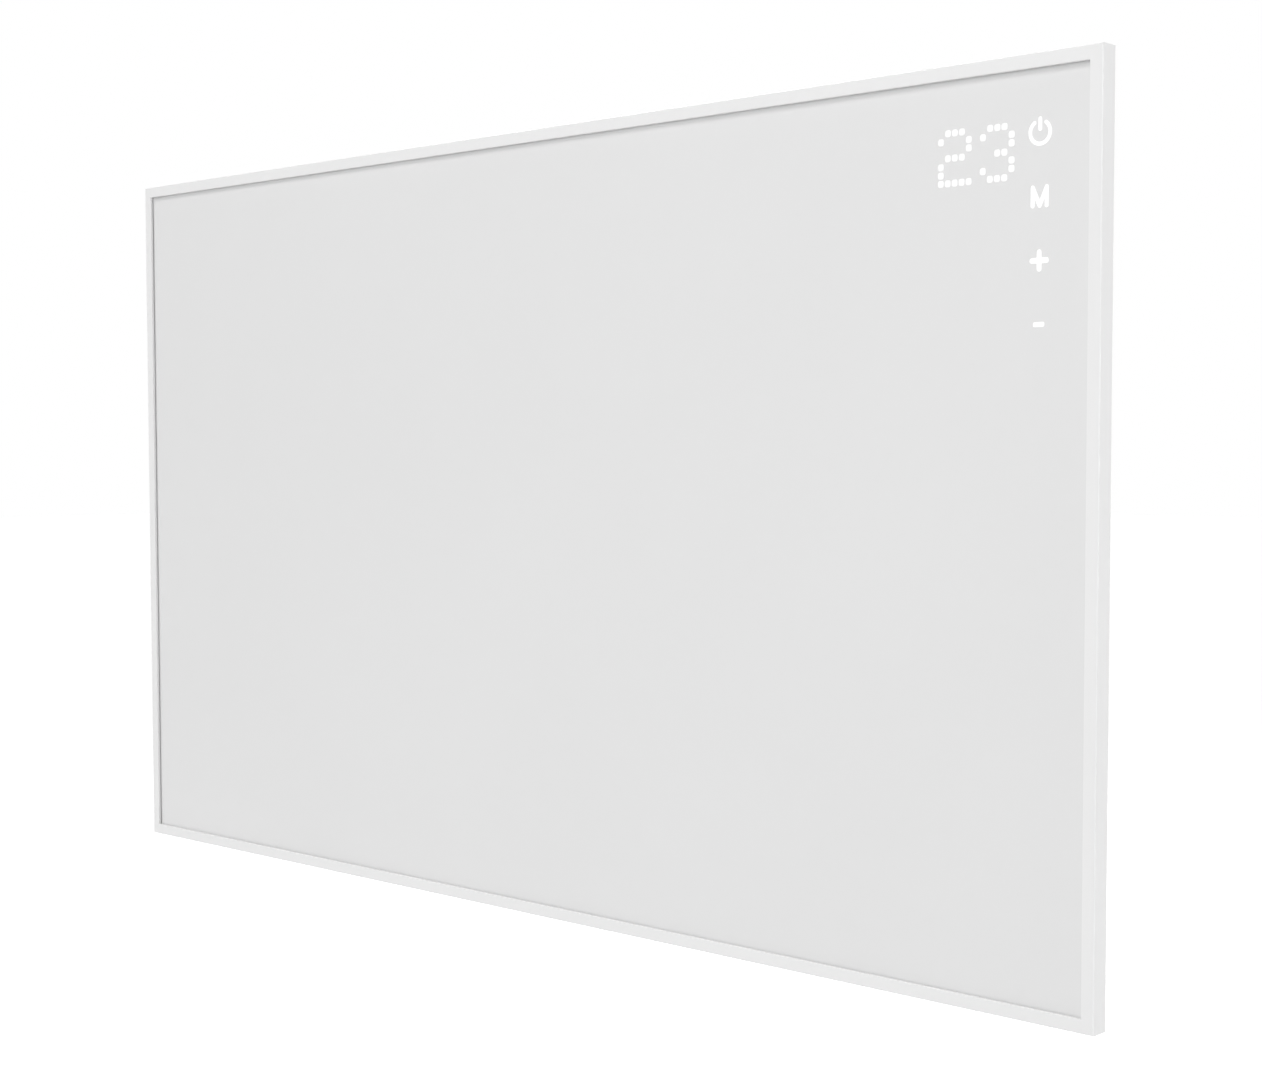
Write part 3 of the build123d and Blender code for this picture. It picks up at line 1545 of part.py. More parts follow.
def main():
    os.makedirs("parts", exist_ok=True)
    for name, side_length, reach, turn, count in sides():
        save("frame_" + name, frame_member(side_length, reach, turn, count))
    save("corner_keys", corner_keys())
    save("corner_key_screws", corner_key_screws())
    save("front_gasket", mitred_strips(gasket_edge, gasket_edge + gasket_width,
                                       lip_thickness - gasket_groove_depth, glass_front))
    save("front_glass", front_glass())
    save("lit_digit_dots", lit_digit_dots())
    save("touch_marks", touch_marks())
    save("heating_film", heating_film())
    save("carbon_bands", carbon_bands())
    save("film_busbars", film_busbars())
    save("busbar_terminals", busbar_terminals())
    save("reflector_foil", reflector_foil())
    save("insulation_board", insulation_board())
    save("rear_seal", mitred_strips(glass_edge, seal_inner_edge, glass_back, cover_front))
    save("rear_cover", rear_cover())
    save("rear_cover_screws", rear_cover_screws())
    save("thermal_cutout", thermal_cutout())
    save("heater_leads", heater_leads())
    save("light_mask", light_mask())
    save("display_board", display_board())
    save("display_leds", display_leds())
    save("touch_springs", touch_springs())
    save("control_chips", control_chips())
    save("link_header", link_header())
    save("control_box", control_box())
    save("control_box_lid", control_box_lid())
    save("control_box_screws", control_box_screws())
    save("power_board", power_board())
    save("board_screws", board_screws())
    save("power_supply_module", power_supply_module())
    save("relay", relay())
    save("fuse", fuse())
    save("wireless_module", wireless_module())
    save("buzzer", buzzer())
    save("board_terminals", board_terminals())
    save("terminal_block", terminal_block())
    save("terminal_screws", terminal_screws())
    save("mains_leads", mains_leads())
    save("earth_lead", earth_lead())
    save("earth_pillar", earth_pillar())
    save("earth_tag", earth_tag())
    save("earth_screw", earth_screw())
    save("room_sensor", room_sensor())
    save("gland_body", gland_body())
    save("gland_locknut", gland_locknut())
    save("gland_seal", gland_seal())
    save("gland_nut", gland_nut())
    save("switch_housing", switch_housing())
    save("switch_blades", switch_blades())
    save("spade_sleeves", spade_sleeves())
    save("switch_rocker", switch_rocker())
    for name, x, z in bracket_centres():
        save("wall_bracket_" + name, wall_bracket(x, z))
    save("bracket_rivets", bracket_rivets())


main()
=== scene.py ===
"""Looks of a wall-hung infrared panel heater, piece by piece in the order it is put together."""
import math

import bmesh
import bpy
from mathutils import Matrix, Vector


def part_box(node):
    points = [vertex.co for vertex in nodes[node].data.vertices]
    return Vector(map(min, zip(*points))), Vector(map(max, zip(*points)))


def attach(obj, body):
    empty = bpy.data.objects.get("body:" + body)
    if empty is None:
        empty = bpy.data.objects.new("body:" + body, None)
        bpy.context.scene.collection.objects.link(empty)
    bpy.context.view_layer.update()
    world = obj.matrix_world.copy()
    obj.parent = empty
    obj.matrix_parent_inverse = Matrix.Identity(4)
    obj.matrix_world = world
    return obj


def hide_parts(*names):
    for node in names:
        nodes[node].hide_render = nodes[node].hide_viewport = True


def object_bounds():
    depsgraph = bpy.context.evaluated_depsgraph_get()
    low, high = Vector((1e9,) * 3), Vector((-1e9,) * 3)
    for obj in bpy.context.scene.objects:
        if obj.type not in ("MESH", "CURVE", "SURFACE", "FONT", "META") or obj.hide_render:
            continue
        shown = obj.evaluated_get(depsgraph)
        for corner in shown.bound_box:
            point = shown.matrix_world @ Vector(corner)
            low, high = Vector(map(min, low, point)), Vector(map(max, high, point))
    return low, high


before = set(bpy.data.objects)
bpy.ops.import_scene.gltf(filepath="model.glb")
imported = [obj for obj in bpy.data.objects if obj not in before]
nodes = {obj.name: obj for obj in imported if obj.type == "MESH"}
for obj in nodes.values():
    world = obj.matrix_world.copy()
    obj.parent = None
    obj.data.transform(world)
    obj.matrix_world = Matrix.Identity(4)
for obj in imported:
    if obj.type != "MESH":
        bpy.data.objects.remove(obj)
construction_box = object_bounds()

collection = bpy.context.scene.collection

# ---------------------------------------------------------------- camera
# The photograph looks at the right end of the panel from its front right, a little below the middle.
# The place, turn and lens were worked out from the four corners and the depth of the frame.
photo_width = 1262
photo_height = 1092
focal_pixels = 2070.0
centre_row = 558.0
sensor_width = 36.0
camera_place = Vector((1.14530, -1.14046, 0.05837))
camera_turn = math.radians(43.0777)
camera_tilt = math.radians(3.0013)
camera_roll = math.radians(-0.098)

camera_data = bpy.data.cameras.new("photo_camera")
camera_data.sensor_width = sensor_width
camera_data.lens = sensor_width * focal_pixels / photo_width
camera_data.shift_y = (centre_row - photo_height / 2) / photo_width
camera = bpy.data.objects.new("photo_camera", camera_data)
camera.matrix_world = (Matrix.Translation(camera_place) @ Matrix.Rotation(camera_turn, 4, "Z")
                       @ Matrix.Rotation(math.pi / 2 - camera_tilt, 4, "X")
                       @ Matrix.Rotation(camera_roll, 4, "Z"))
collection.objects.link(camera)
bpy.context.scene.camera = camera

# ---------------------------------------------------------------- frame
# Four lengths of extruded aluminium, mitred and keyed at the corners, powder coated white as one.
# The coat is satin, with the faint orange peel that baked powder has.
mm = 0.001
coat_light = (0.855, 0.855, 0.855)
coat_dark = (0.840, 0.840, 0.840)


def step(tree, kind, inputs, **settings):
    """A node in a tree, with each of these inputs joined to a socket or set to a value."""
    node = tree.nodes.new(kind)
    for setting, value in settings.items():
        setattr(node, setting, value)
    for key, value in inputs.items():
        if isinstance(value, bpy.types.NodeSocket):
            tree.links.new(value, node.inputs[key])
        else:
            node.inputs[key].default_value = value
    return node


def new_finish(name, colour, roughness, metallic=0.0):
    """A material whose shader has its even values set."""
    finish = bpy.data.materials.new(name)
    finish.use_nodes = True
    shader = shader_of(finish)
    shader.inputs["Base Color"].default_value = (*colour, 1.0)
    shader.inputs["Roughness"].default_value = roughness
    shader.inputs["Metallic"].default_value = metallic
    return finish


def shader_of(finish):
    return finish.node_tree.nodes["Principled BSDF"]


def own_place(finish):
    """The piece's own coordinates, in metres."""
    return step(finish.node_tree, "ShaderNodeTexCoord", {}).outputs["Object"]


def cloud(finish, size, detail=2.0):
    """Noise whose patches are about this size."""
    return step(finish.node_tree, "ShaderNodeTexNoise",
                {"Vector": own_place(finish), "Scale": 1.0 / size, "Detail": detail}).outputs["Fac"]


def spread(finish, pattern, low, high, start=0.3, end=0.7):
    """The pattern's middle range, stretched between two values."""
    stretched = step(finish.node_tree, "ShaderNodeMapRange",
                     {"Value": pattern, "From Min": start, "From Max": end, "To Min": low, "To Max": high})
    return stretched.outputs[0]


def tint(finish, pattern, dark, light):
    """Base colour that runs from dark to light as the pattern runs from 0 to 1.
    A mix node's colours are its sockets 6 and 7, and the mixed colour is its output 2."""
    mix = step(finish.node_tree, "ShaderNodeMix", {0: pattern, 6: (*dark, 1.0), 7: (*light, 1.0)},
               data_type="RGBA")
    finish.node_tree.links.new(mix.outputs[2], shader_of(finish).inputs["Base Color"])


def polish(finish, pattern, low, high):
    """Roughness that runs from low to high with the pattern."""
    finish.node_tree.links.new(spread(finish, pattern, low, high), shader_of(finish).inputs["Roughness"])


def emboss(finish, pattern, height):
    """Bumps of this height from the pattern."""
    bump = step(finish.node_tree, "ShaderNodeBump", {"Height": pattern, "Distance": height})
    finish.node_tree.links.new(bump.outputs["Normal"], shader_of(finish).inputs["Normal"])


def mottled(name, dark, light, roughness, patch, grain, height, metallic=0.0):
    """A finish with soft patches of colour and shine, and a fine grain of this height.
    Its roughness wanders by a tenth, in patches of a third of the size."""
    finish = new_finish(name, light, roughness, metallic)
    tint(finish, spread(finish, cloud(finish, patch), 0.0, 1.0), dark, light)
    polish(finish, cloud(finish, patch / 3), 0.9 * roughness, 1.1 * roughness)
    emboss(finish, cloud(finish, grain), height)
    return finish


def wear(finish, *names):
    """Gives these construction nodes the finish."""
    for name in names:
        nodes[name].data.materials.clear()
        nodes[name].data.materials.append(finish)


powder_coat = mottled("powder_coat", dark=coat_dark, light=coat_light, roughness=0.38, patch=160 * mm,
                      grain=1.3 * mm, height=0.004 * mm)
wear(powder_coat, "frame_top", "frame_bottom", "frame_left", "frame_right")

# ---------------------------------------------------------------- corner keys and grub screws
# Die-cast angles slide into the hollow chamber of the frame at each mitre, out of sight.
# Two zinc-plated grub screws in each pull the joint tight.
casting = mottled("die_casting", dark=(0.52, 0.53, 0.55), light=(0.64, 0.65, 0.67), roughness=0.5,
                  patch=6 * mm, grain=0.4 * mm, height=0.02 * mm, metallic=1.0)
zinc_plate = mottled("zinc_plate", dark=(0.60, 0.62, 0.66), light=(0.76, 0.76, 0.74), roughness=0.28,
                     patch=3 * mm, grain=0.2 * mm, height=0.003 * mm, metallic=1.0)
wear(casting, "corner_keys")
wear(zinc_plate, "corner_key_screws")

# ---------------------------------------------------------------- gasket
# A soft silicone strip runs in one length behind the frame's lip, rounded where it meets the glass.
# It keeps the glass off the metal, and shows as the thin grey line in the shadow gap.
gasket_line = 7.0 * mm
gasket_width = 1.6 * mm
gasket_depth = (1.0 * mm, 2.9 * mm)
gasket_corner = 3.0 * mm
gasket_corner_points = 6
gasket_rounding = 0.3
gasket_rounding_points = 4
gasket_rubber = mottled("gasket_rubber", dark=(0.50, 0.50, 0.50), light=(0.58, 0.58, 0.58), roughness=0.7,
                        patch=20 * mm, grain=0.3 * mm, height=0.01 * mm)


def new_tree(name, sizes):
    """A Geometry Nodes tree with a geometry input and one named input for each size."""
    tree = bpy.data.node_groups.new(name, "GeometryNodeTree")
    tree.interface.new_socket("Places", in_out="INPUT", socket_type="NodeSocketGeometry")
    for label, value in sizes.items():
        kind = "NodeSocketInt" if isinstance(value, int) else "NodeSocketFloat"
        tree.interface.new_socket(label, in_out="INPUT", socket_type=kind)
    tree.interface.new_socket("Piece", in_out="OUTPUT", socket_type="NodeSocketGeometry")
    return tree, tree.nodes.new("NodeGroupInput").outputs


def close_tree(tree, shape, finish):
    """Ends the tree: real geometry with its material set."""
    real = step(tree, "GeometryNodeRealizeInstances", {"Geometry": shape})
    worn = step(tree, "GeometryNodeSetMaterial", {"Geometry": real.outputs[0], "Material": finish})
    step(tree, "NodeGroupOutput", {"Piece": worn.outputs[0]})


def new_piece(name, mesh, body="heater", stands_for=()):
    """A finished mesh as a piece on its body, in place of the construction nodes it stands for."""
    piece = bpy.data.objects.new(name, mesh)
    collection.objects.link(piece)
    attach(piece, body)
    if stands_for:
        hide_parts(*stands_for)
    return piece


def grown(name, places, tree, sizes, sharp=40):
    """The mesh that the tree grows from bare points, with edges sharper than an angle kept crisp."""
    seed = bpy.data.meshes.new(name + "_places")
    seed.from_pydata(places, [], [])
    maker = bpy.data.objects.new(name + "_maker", seed)
    collection.objects.link(maker)
    modifier = maker.modifiers.new("grow", "NODES")
    modifier.node_group = tree
    for item in tree.interface.items_tree:
        if item.in_out == "INPUT" and item.name in sizes:
            modifier[item.identifier] = sizes[item.name]
    mesh = bpy.data.meshes.new_from_object(maker.evaluated_get(bpy.context.evaluated_depsgraph_get()))
    maker.modifiers.clear()
    bpy.data.objects.remove(maker)
    mesh.shade_smooth()
    mesh.set_sharp_from_angle(angle=math.radians(sharp))
    return mesh


panel_low, panel_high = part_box("frame_top")[0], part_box("frame_top")[1]
panel_low = Vector((panel_low.x, panel_low.y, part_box("frame_bottom")[0].z))
sizes = {"Path width": panel_high.x - panel_low.x - 2 * gasket_line,
         "Path height": panel_high.z - panel_low.z - 2 * gasket_line,
         "Corner radius": gasket_corner, "Strip width": gasket_width,
         "Strip depth": gasket_depth[1] - gasket_depth[0]}
tree, size = new_tree("gasket_strip", sizes)
path = step(tree, "GeometryNodeCurvePrimitiveQuadrilateral",
            {"Width": size["Path width"], "Height": size["Path height"]})
path = step(tree, "GeometryNodeFilletCurve",
            {"Curve": path.outputs[0], "Radius": size["Corner radius"], "Count": gasket_corner_points},
            mode="POLY")
section = step(tree, "GeometryNodeCurvePrimitiveQuadrilateral",
               {"Width": size["Strip width"], "Height": size["Strip depth"]})
rounding = step(tree, "ShaderNodeMath", {0: size["Strip width"], 1: gasket_rounding}, operation="MULTIPLY")
section = step(tree, "GeometryNodeFilletCurve",
               {"Curve": section.outputs[0], "Radius": rounding.outputs[0], "Count": gasket_rounding_points},
               mode="POLY")
strip = step(tree, "GeometryNodeCurveToMesh", {"Curve": path.outputs[0], "Profile Curve": section.outputs[0]})
upright = step(tree, "GeometryNodeTransform", {"Geometry": strip.outputs[0], "Rotation": (math.pi / 2, 0, 0),
               "Translation": (0, panel_low.y + sum(gasket_depth) / 2, 0)})
close_tree(tree, upright.outputs[0], gasket_rubber)
new_piece("gasket_strip", grown("gasket_strip", [(0, 0, 0)], tree, sizes), stands_for=["front_gasket"])

# ---------------------------------------------------------------- glass
# One sheet of tempered low-iron glass with a white enamel fired on its back.
# Its face is etched to a fine satin, so it shows soft light and no sharp reflection.
satin_glass = mottled("satin_white_glass", dark=(0.780, 0.780, 0.780), light=(0.790, 0.790, 0.790),
                      roughness=0.45, patch=220 * mm, grain=0.5 * mm, height=0.001 * mm)
wear(satin_glass, "front_glass")

# ---------------------------------------------------------------- lit number
# The temperature is a dot matrix: clear windows in the enamel, each lit from its own white lamp.
# A lamp's light is strongest in the middle of its window and a little weaker towards the corners.
dot_pitch = 5.25 * mm
dot_size = 4.5 * mm
dot_corner = 1.4 * mm
dot_corner_points = 4
dot_depth = 0.3 * mm
glass_face = 2.9 * mm
last_column_inset = 65.2 * mm
first_row_inset = 42.0 * mm
window_colour = (0.85, 0.85, 0.85)
window_roughness = 0.35
window_light = (0.32, 0.08)
light_reach = 0.6
weld_distance = 0.001 * mm
digits = ((".###.", "#...#", "....#", ".###.", "#....", "#....", "#####"),
          (".###.", "#...#", "....#", "..##.", "....#", "#...#", ".###."))


def spot(u, v, d):
    """A place by its distances from the panel's right edge, top edge and front."""
    return Vector((panel_high.x - u, panel_low.y + d, panel_high.z - v))


def lit_finish(name, light, pattern_origin, pitch):
    """White light that falls off from the middle of each cell of a grid, from the first value of light to the
    second."""
    finish = new_finish(name, window_colour, window_roughness)
    tree = finish.node_tree
    from_origin = step(tree, "ShaderNodeVectorMath", {0: own_place(finish), 1: pattern_origin},
                       operation="SUBTRACT")
    cells = step(tree, "ShaderNodeVectorMath", {0: from_origin.outputs[0], 1: (1 / pitch, 0, 1 / pitch)},
                 operation="MULTIPLY")
    folded = step(tree, "ShaderNodeVectorMath", {0: cells.outputs[0]}, operation="FRACTION")
    offset = step(tree, "ShaderNodeVectorMath", {0: folded.outputs[0], 1: (0.5, 0, 0.5)},
                  operation="SUBTRACT")
    away = step(tree, "ShaderNodeVectorMath", {0: offset.outputs[0]}, operation="LENGTH")
    tree.links.new(spread(finish, away.outputs["Value"], *light, 0.0, light_reach),
                   shader_of(finish).inputs["Emission Strength"])
    shader_of(finish).inputs["Emission Color"].default_value = (1, 1, 1, 1)
    return finish


lit_places = []
for row in range(len(digits[0])):
    cells = digits[0][row] + "." + digits[1][row]
    for column, cell in enumerate(cells):
        if cell == "#":
            inset = last_column_inset + (len(cells) - 1 - column) * dot_pitch
            lit_places.append(spot(inset, first_row_inset + row * dot_pitch, glass_face + dot_depth))
grid_corner = spot(last_column_inset - dot_pitch / 2, first_row_inset - dot_pitch / 2, 0)
lit_window = lit_finish("lit_window", window_light, grid_corner, dot_pitch)

sizes = {"Dot size": dot_size, "Corner radius": dot_corner, "Depth": dot_depth}
tree, size = new_tree("dot_matrix", sizes)
outline = step(tree, "GeometryNodeCurvePrimitiveQuadrilateral",
               {"Width": size["Dot size"], "Height": size["Dot size"]})
outline = step(tree, "GeometryNodeFilletCurve",
               {"Curve": outline.outputs[0], "Radius": size["Corner radius"], "Count": dot_corner_points},
               mode="POLY")
pane = step(tree, "GeometryNodeFillCurve", {"Curve": outline.outputs[0]}, mode="NGONS")
raised = step(tree, "GeometryNodeExtrudeMesh", {"Mesh": pane.outputs[0], "Offset Scale": size["Depth"],
              "Individual": False})
base = step(tree, "GeometryNodeFlipFaces", {"Mesh": pane.outputs[0]})
closed = step(tree, "GeometryNodeJoinGeometry", {"Geometry": raised.outputs[0]})
tree.links.new(base.outputs[0], closed.inputs[0])
closed = step(tree, "GeometryNodeMergeByDistance", {"Geometry": closed.outputs[0], "Distance": weld_distance})
windows = step(tree, "GeometryNodeInstanceOnPoints", {"Points": size["Places"], "Instance": closed.outputs[0],
               "Rotation": (math.pi / 2, 0, 0)})
close_tree(tree, windows.outputs[0], lit_window)
new_piece("lit_windows", grown("lit_windows", lit_places, tree, sizes, sharp=60),
          stands_for=["lit_digit_dots"])

# ---------------------------------------------------------------- touch marks
# Power, mode, plus and minus are clear windows too, lit evenly by the strip behind them.
# The keys themselves are the springs behind the glass, and nothing in the glass moves.
mark_light = (0.26, 0.20)
mark_cell = 2.1 * mm
lit_mark = lit_finish("lit_mark", mark_light, grid_corner, mark_cell)
wear(lit_mark, "touch_marks")

# ---------------------------------------------------------------- heating film
# Amber polyester laminated round printed carbon bands, with a bare copper strip at each end of them.
# Tinned tags are crimped and soldered to the copper. All of it lies behind the white enamel.
film = mottled("amber_film", dark=(0.66, 0.47, 0.20), light=(0.78, 0.60, 0.32), roughness=0.25, patch=40 * mm,
               grain=2.0 * mm, height=0.02 * mm)
carbon = mottled("printed_carbon", dark=(0.035, 0.035, 0.035), light=(0.070, 0.068, 0.065), roughness=0.55,
                 patch=9 * mm, grain=0.35 * mm, height=0.01 * mm)
copper = mottled("bare_copper", dark=(0.62, 0.30, 0.18), light=(0.84, 0.50, 0.34), roughness=0.30,
                 patch=14 * mm, grain=0.5 * mm, height=0.01 * mm, metallic=1.0)
tinned = mottled("tinned_copper", dark=(0.60, 0.60, 0.58), light=(0.78, 0.78, 0.76), roughness=0.35,
                 patch=2 * mm, grain=0.3 * mm, height=0.01 * mm, metallic=1.0)
wear(film, "heating_film")
wear(carbon, "carbon_bands")
wear(copper, "film_busbars")
wear(tinned, "busbar_terminals", "earth_tag")

# ---------------------------------------------------------------- foil, insulation and seal
# Crinkled aluminium foil turns the heat forward, and a pressed mineral-fibre board holds it back.
# A closed-cell foam strip round the edge keeps dust out.
foil = mottled("crinkled_foil", dark=(0.80, 0.80, 0.81), light=(0.90, 0.90, 0.91), roughness=0.22,
               patch=12 * mm, grain=6 * mm, height=0.4 * mm, metallic=1.0)
fibre = mottled("mineral_fibre", dark=(0.74, 0.71, 0.62), light=(0.90, 0.88, 0.82), roughness=0.95,
                patch=5 * mm, grain=0.7 * mm, height=0.15 * mm)
foam = mottled("closed_cell_foam", dark=(0.045, 0.045, 0.045), light=(0.10, 0.10, 0.10), roughness=0.9,
               patch=2 * mm, grain=0.5 * mm, height=0.08 * mm)
wear(foil, "reflector_foil")
wear(fibre, "insulation_board")
wear(foam, "rear_seal")

# ---------------------------------------------------------------- rear cover
# One galvanised steel sheet drops into the frame from behind. Three long round-nosed beads are pressed
# in it for stiffness, and it is cut out behind the display board and for the heater leads.
cover_inset = 1.4 * mm
cover_depth = 13.3 * mm
cover_sheet = 0.8 * mm
bead_places = (-150 * mm, 0.0, 150 * mm)
bead_width = 16 * mm
bead_length = 420 * mm
bead_section = ((0.0, 0.0), (0.10, 0.04), (0.25, 0.22), (0.42, 0.52), (0.60, 0.80), (0.78, 0.95), (0.92, 1.0))
bead_height = 1.5 * mm
bead_end_points = 16
display_cut = (30.95 * mm, 133.95 * mm, 32.5 * mm, 179.15 * mm)
lead_cut = (109.05 * mm, 123.85 * mm, 183.15 * mm, 197.95 * mm)
zinc_roughness = 0.55
zinc_shine = (0.50, 0.60)
zinc_metal = 0.55
zinc_bump = 0.006 * mm
wander_scale = 1.5
wander_share = 0.35
fold_angle = 35


def galvanised(name, dark, light, flake, grain):
    """Hot-dip zinc: flat crystals of slightly different grey and shine, with a fine rolled grain."""
    finish = new_finish(name, light, zinc_roughness, zinc_metal)
    tree = finish.node_tree
    wander = step(tree, "ShaderNodeTexNoise",
                  {"Vector": own_place(finish), "Scale": wander_scale / flake, "Detail": 1.0})
    bend = step(tree, "ShaderNodeVectorMath", {0: wander.outputs["Color"], "Scale": wander_share * flake},
                operation="SCALE")
    bent = step(tree, "ShaderNodeVectorMath", {0: own_place(finish), 1: bend.outputs[0]})
    flakes = step(tree, "ShaderNodeTexVoronoi", {"Vector": bent.outputs[0], "Scale": 1 / flake})
    shade = step(tree, "ShaderNodeSeparateColor", {0: flakes.outputs["Color"]}).outputs[0]
    tint(finish, shade, dark, light)
    polish(finish, shade, *zinc_shine)
    emboss(finish, cloud(finish, grain), zinc_bump)
    return finish


def oblong(x, z, half_straight, radius, points):
    """A closed loop of (x, z) round an upright bead or slot with round ends."""
    loop = []
    for end in (1, -1):
        for count in range(points + 1):
            angle = math.pi * count / points
            across = radius * math.cos(angle)
            up = half_straight + radius * math.sin(angle)
            loop.append((x + end * across, z + end * up))
    return loop


def opening(right, left, top, bottom):
    """A rectangular loop of (x, z) from distances to the panel's right and top edges."""
    first = spot(right, top, 0)
    last = spot(left, bottom, 0)
    return [(first.x, first.z), (last.x, first.z), (last.x, last.z), (first.x, last.z)]


def add_loop(bm, loop, y):
    """The loop's vertices and edges at a depth."""
    ring = [bm.verts.new((x, y, z)) for x, z in loop]
    return ring, [bm.edges.new((ring[count - 1], ring[count])) for count in range(len(ring))]


def finished_mesh(name, bm, finish, sharp=fold_angle):
    """A plain mesh from the bmesh, with edges sharper than an angle kept crisp."""
    mesh = bpy.data.meshes.new(name)
    bm.to_mesh(mesh)
    bm.free()
    mesh.materials.append(finish)
    mesh.shade_smooth()
    mesh.set_sharp_from_angle(angle=math.radians(sharp))
    return mesh


def with_modifiers(name, mesh, *modifiers):
    """The mesh after its modifiers, each given by its kind and settings."""
    maker = bpy.data.objects.new(name + "_maker", mesh)
    collection.objects.link(maker)
    for kind, settings in modifiers:
        modifier = maker.modifiers.new(kind, kind)
        for setting, value in settings.items():
            setattr(modifier, setting, value)
    result = bpy.data.meshes.new_from_object(maker.evaluated_get(bpy.context.evaluated_depsgraph_get()))
    bpy.data.objects.remove(maker)
    return result


zinc_sheet = galvanised("galvanised_sheet", dark=(0.50, 0.51, 0.53), light=(0.57, 0.58, 0.59),
                        flake=6 * mm, grain=0.8 * mm)
cover_y = spot(0, 0, cover_depth).y
bm = bmesh.new()
rim = opening(cover_inset, 2 * panel_high.x - cover_inset, cover_inset, 2 * panel_high.z - cover_inset)
flat_edges = []
for loop in (rim, opening(*display_cut), opening(*lead_cut)):
    flat_edges += add_loop(bm, loop, cover_y)[1]
half_straight = (bead_length - bead_width) / 2
for x in bead_places:
    rings = []
    for inward, rise in bead_section:
        radius = bead_width / 2 * (1 - inward)
        ring, edges = add_loop(bm, oblong(x, 0.0, half_straight, radius, bead_end_points),
                               cover_y + rise * bead_height)
        rings.append(ring)
        if inward == 0.0:
            flat_edges += edges
    for outer, inner in zip(rings, rings[1:]):
        for count in range(len(outer)):
            bm.faces.new((outer[count - 1], outer[count], inner[count], inner[count - 1]))
    bm.faces.new(rings[-1])
bmesh.ops.triangle_fill(bm, edges=flat_edges, use_beauty=True, normal=(0, 1, 0))
bmesh.ops.recalc_face_normals(bm, faces=bm.faces)
if sum(face.normal.y * face.calc_area() for face in bm.faces) < 0:
    bmesh.ops.reverse_faces(bm, faces=bm.faces)
cover_skin = finished_mesh("rear_cover_skin", bm, zinc_sheet)
cover = with_modifiers("rear_cover_sheet", cover_skin,
                       ("SOLIDIFY", {"thickness": cover_sheet, "offset": -1.0}))
cover.set_sharp_from_angle(angle=math.radians(fold_angle))
new_piece("rear_cover_sheet", cover, stands_for=["rear_cover"])

# ---------------------------------------------------------------- rear cover screws
# Zinc-plated pan-head screws hold the sheet to the frame, each with a cross recess and a domed head.
# They were driven by hand, so no two crosses stand at quite the same angle.
cover_screw_inset = 3.4 * mm
screw_end_gap = 50 * mm
screw_counts = (7, 4)
cover_screw_seed = 3
pan_head = ((1.0, 0.0), (1.0, 0.35), (0.96, 0.62), (0.82, 0.86), (0.55, 0.97), (0.25, 1.0))
pointed_shank = ((1.0, 0.0), (1.0, 0.88), (0.55, 1.0))
shank_points = 16
recess_middle = 0.95


def turned(tree, base_radius, rise_unit, profile, points=32):
    """A solid of revolution on the tree: rings of given share of the radius and of the rise."""
    disc = step(tree, "GeometryNodeMeshCircle", {"Vertices": points, "Radius": base_radius}, fill_type="NGON")
    body, top = disc.outputs[0], None
    for (radius, rise), (next_radius, next_rise) in zip(profile, profile[1:]):
        lift = step(tree, "ShaderNodeMath", {0: rise_unit, 1: next_rise - rise}, operation="MULTIPLY")
        taller = step(tree, "GeometryNodeExtrudeMesh", {"Mesh": body, "Offset Scale": lift.outputs[0],
                      "Individual": False})
        if top:
            tree.links.new(top, taller.inputs["Selection"])
        top = taller.outputs["Top"]
        scaled = step(tree, "GeometryNodeScaleElements", {"Geometry": taller.outputs[0], "Selection": top,
                      "Scale": next_radius / radius})
        body = scaled.outputs[0]
    under = step(tree, "GeometryNodeFlipFaces", {"Mesh": disc.outputs[0]})
    closed = step(tree, "GeometryNodeJoinGeometry", {"Geometry": body})
    tree.links.new(under.outputs[0], closed.inputs[0])
    welded = step(tree, "GeometryNodeMergeByDistance",
                  {"Geometry": closed.outputs[0], "Distance": weld_distance})
    return welded.outputs[0]


def screw_tree(name, sizes, finish, seed):
    """Pan-head screws on points: the head rises towards the wall from each point."""
    tree, size = new_tree(name, sizes)
    head = turned(tree, size["Head radius"], size["Head height"], pan_head)
    cutters = []
    for across in (("Recess reach", "Recess width"), ("Recess width", "Recess reach")):
        box_size = step(tree, "ShaderNodeCombineXYZ", {"X": size[across[0]], "Y": size[across[1]],
                        "Z": size["Head height"]})
        cutters.append(step(tree, "GeometryNodeMeshCube", {"Size": box_size.outputs[0]}).outputs[0])
    raised = step(tree, "ShaderNodeMath", {0: size["Head height"], 1: recess_middle}, operation="MULTIPLY")
    lift = step(tree, "ShaderNodeCombineXYZ", {"Z": raised.outputs[0]})
    cross = step(tree, "GeometryNodeMeshBoolean", {1: cutters[0]}, operation="UNION", solver="EXACT")
    tree.links.new(cutters[1], cross.inputs[1])
    cross = step(tree, "GeometryNodeTransform",
                 {"Geometry": cross.outputs[0], "Translation": lift.outputs[0]})
    cut = step(tree, "GeometryNodeMeshBoolean", {0: head, 1: cross.outputs[0]}, operation="DIFFERENCE",
               solver="EXACT")
    shank = turned(tree, size["Shank radius"], size["Shank length"], pointed_shank, shank_points)
    shank = step(tree, "GeometryNodeTransform", {"Geometry": shank, "Rotation": (math.pi, 0, 0)})
    whole = step(tree, "GeometryNodeJoinGeometry", {"Geometry": cut.outputs[0]})
    tree.links.new(shank.outputs[0], whole.inputs[0])
    turn = step(tree, "FunctionNodeRandomValue", {"Max": math.pi / 2, "Seed": seed}, data_type="FLOAT")
    stand = step(tree, "ShaderNodeCombineXYZ", {"X": -math.pi / 2, "Y": turn.outputs[1]})
    placed = step(tree, "GeometryNodeInstanceOnPoints",
                  {"Points": size["Places"], "Instance": whole.outputs[0], "Rotation": stand.outputs[0]})
    close_tree(tree, placed.outputs[0], finish)
    return tree


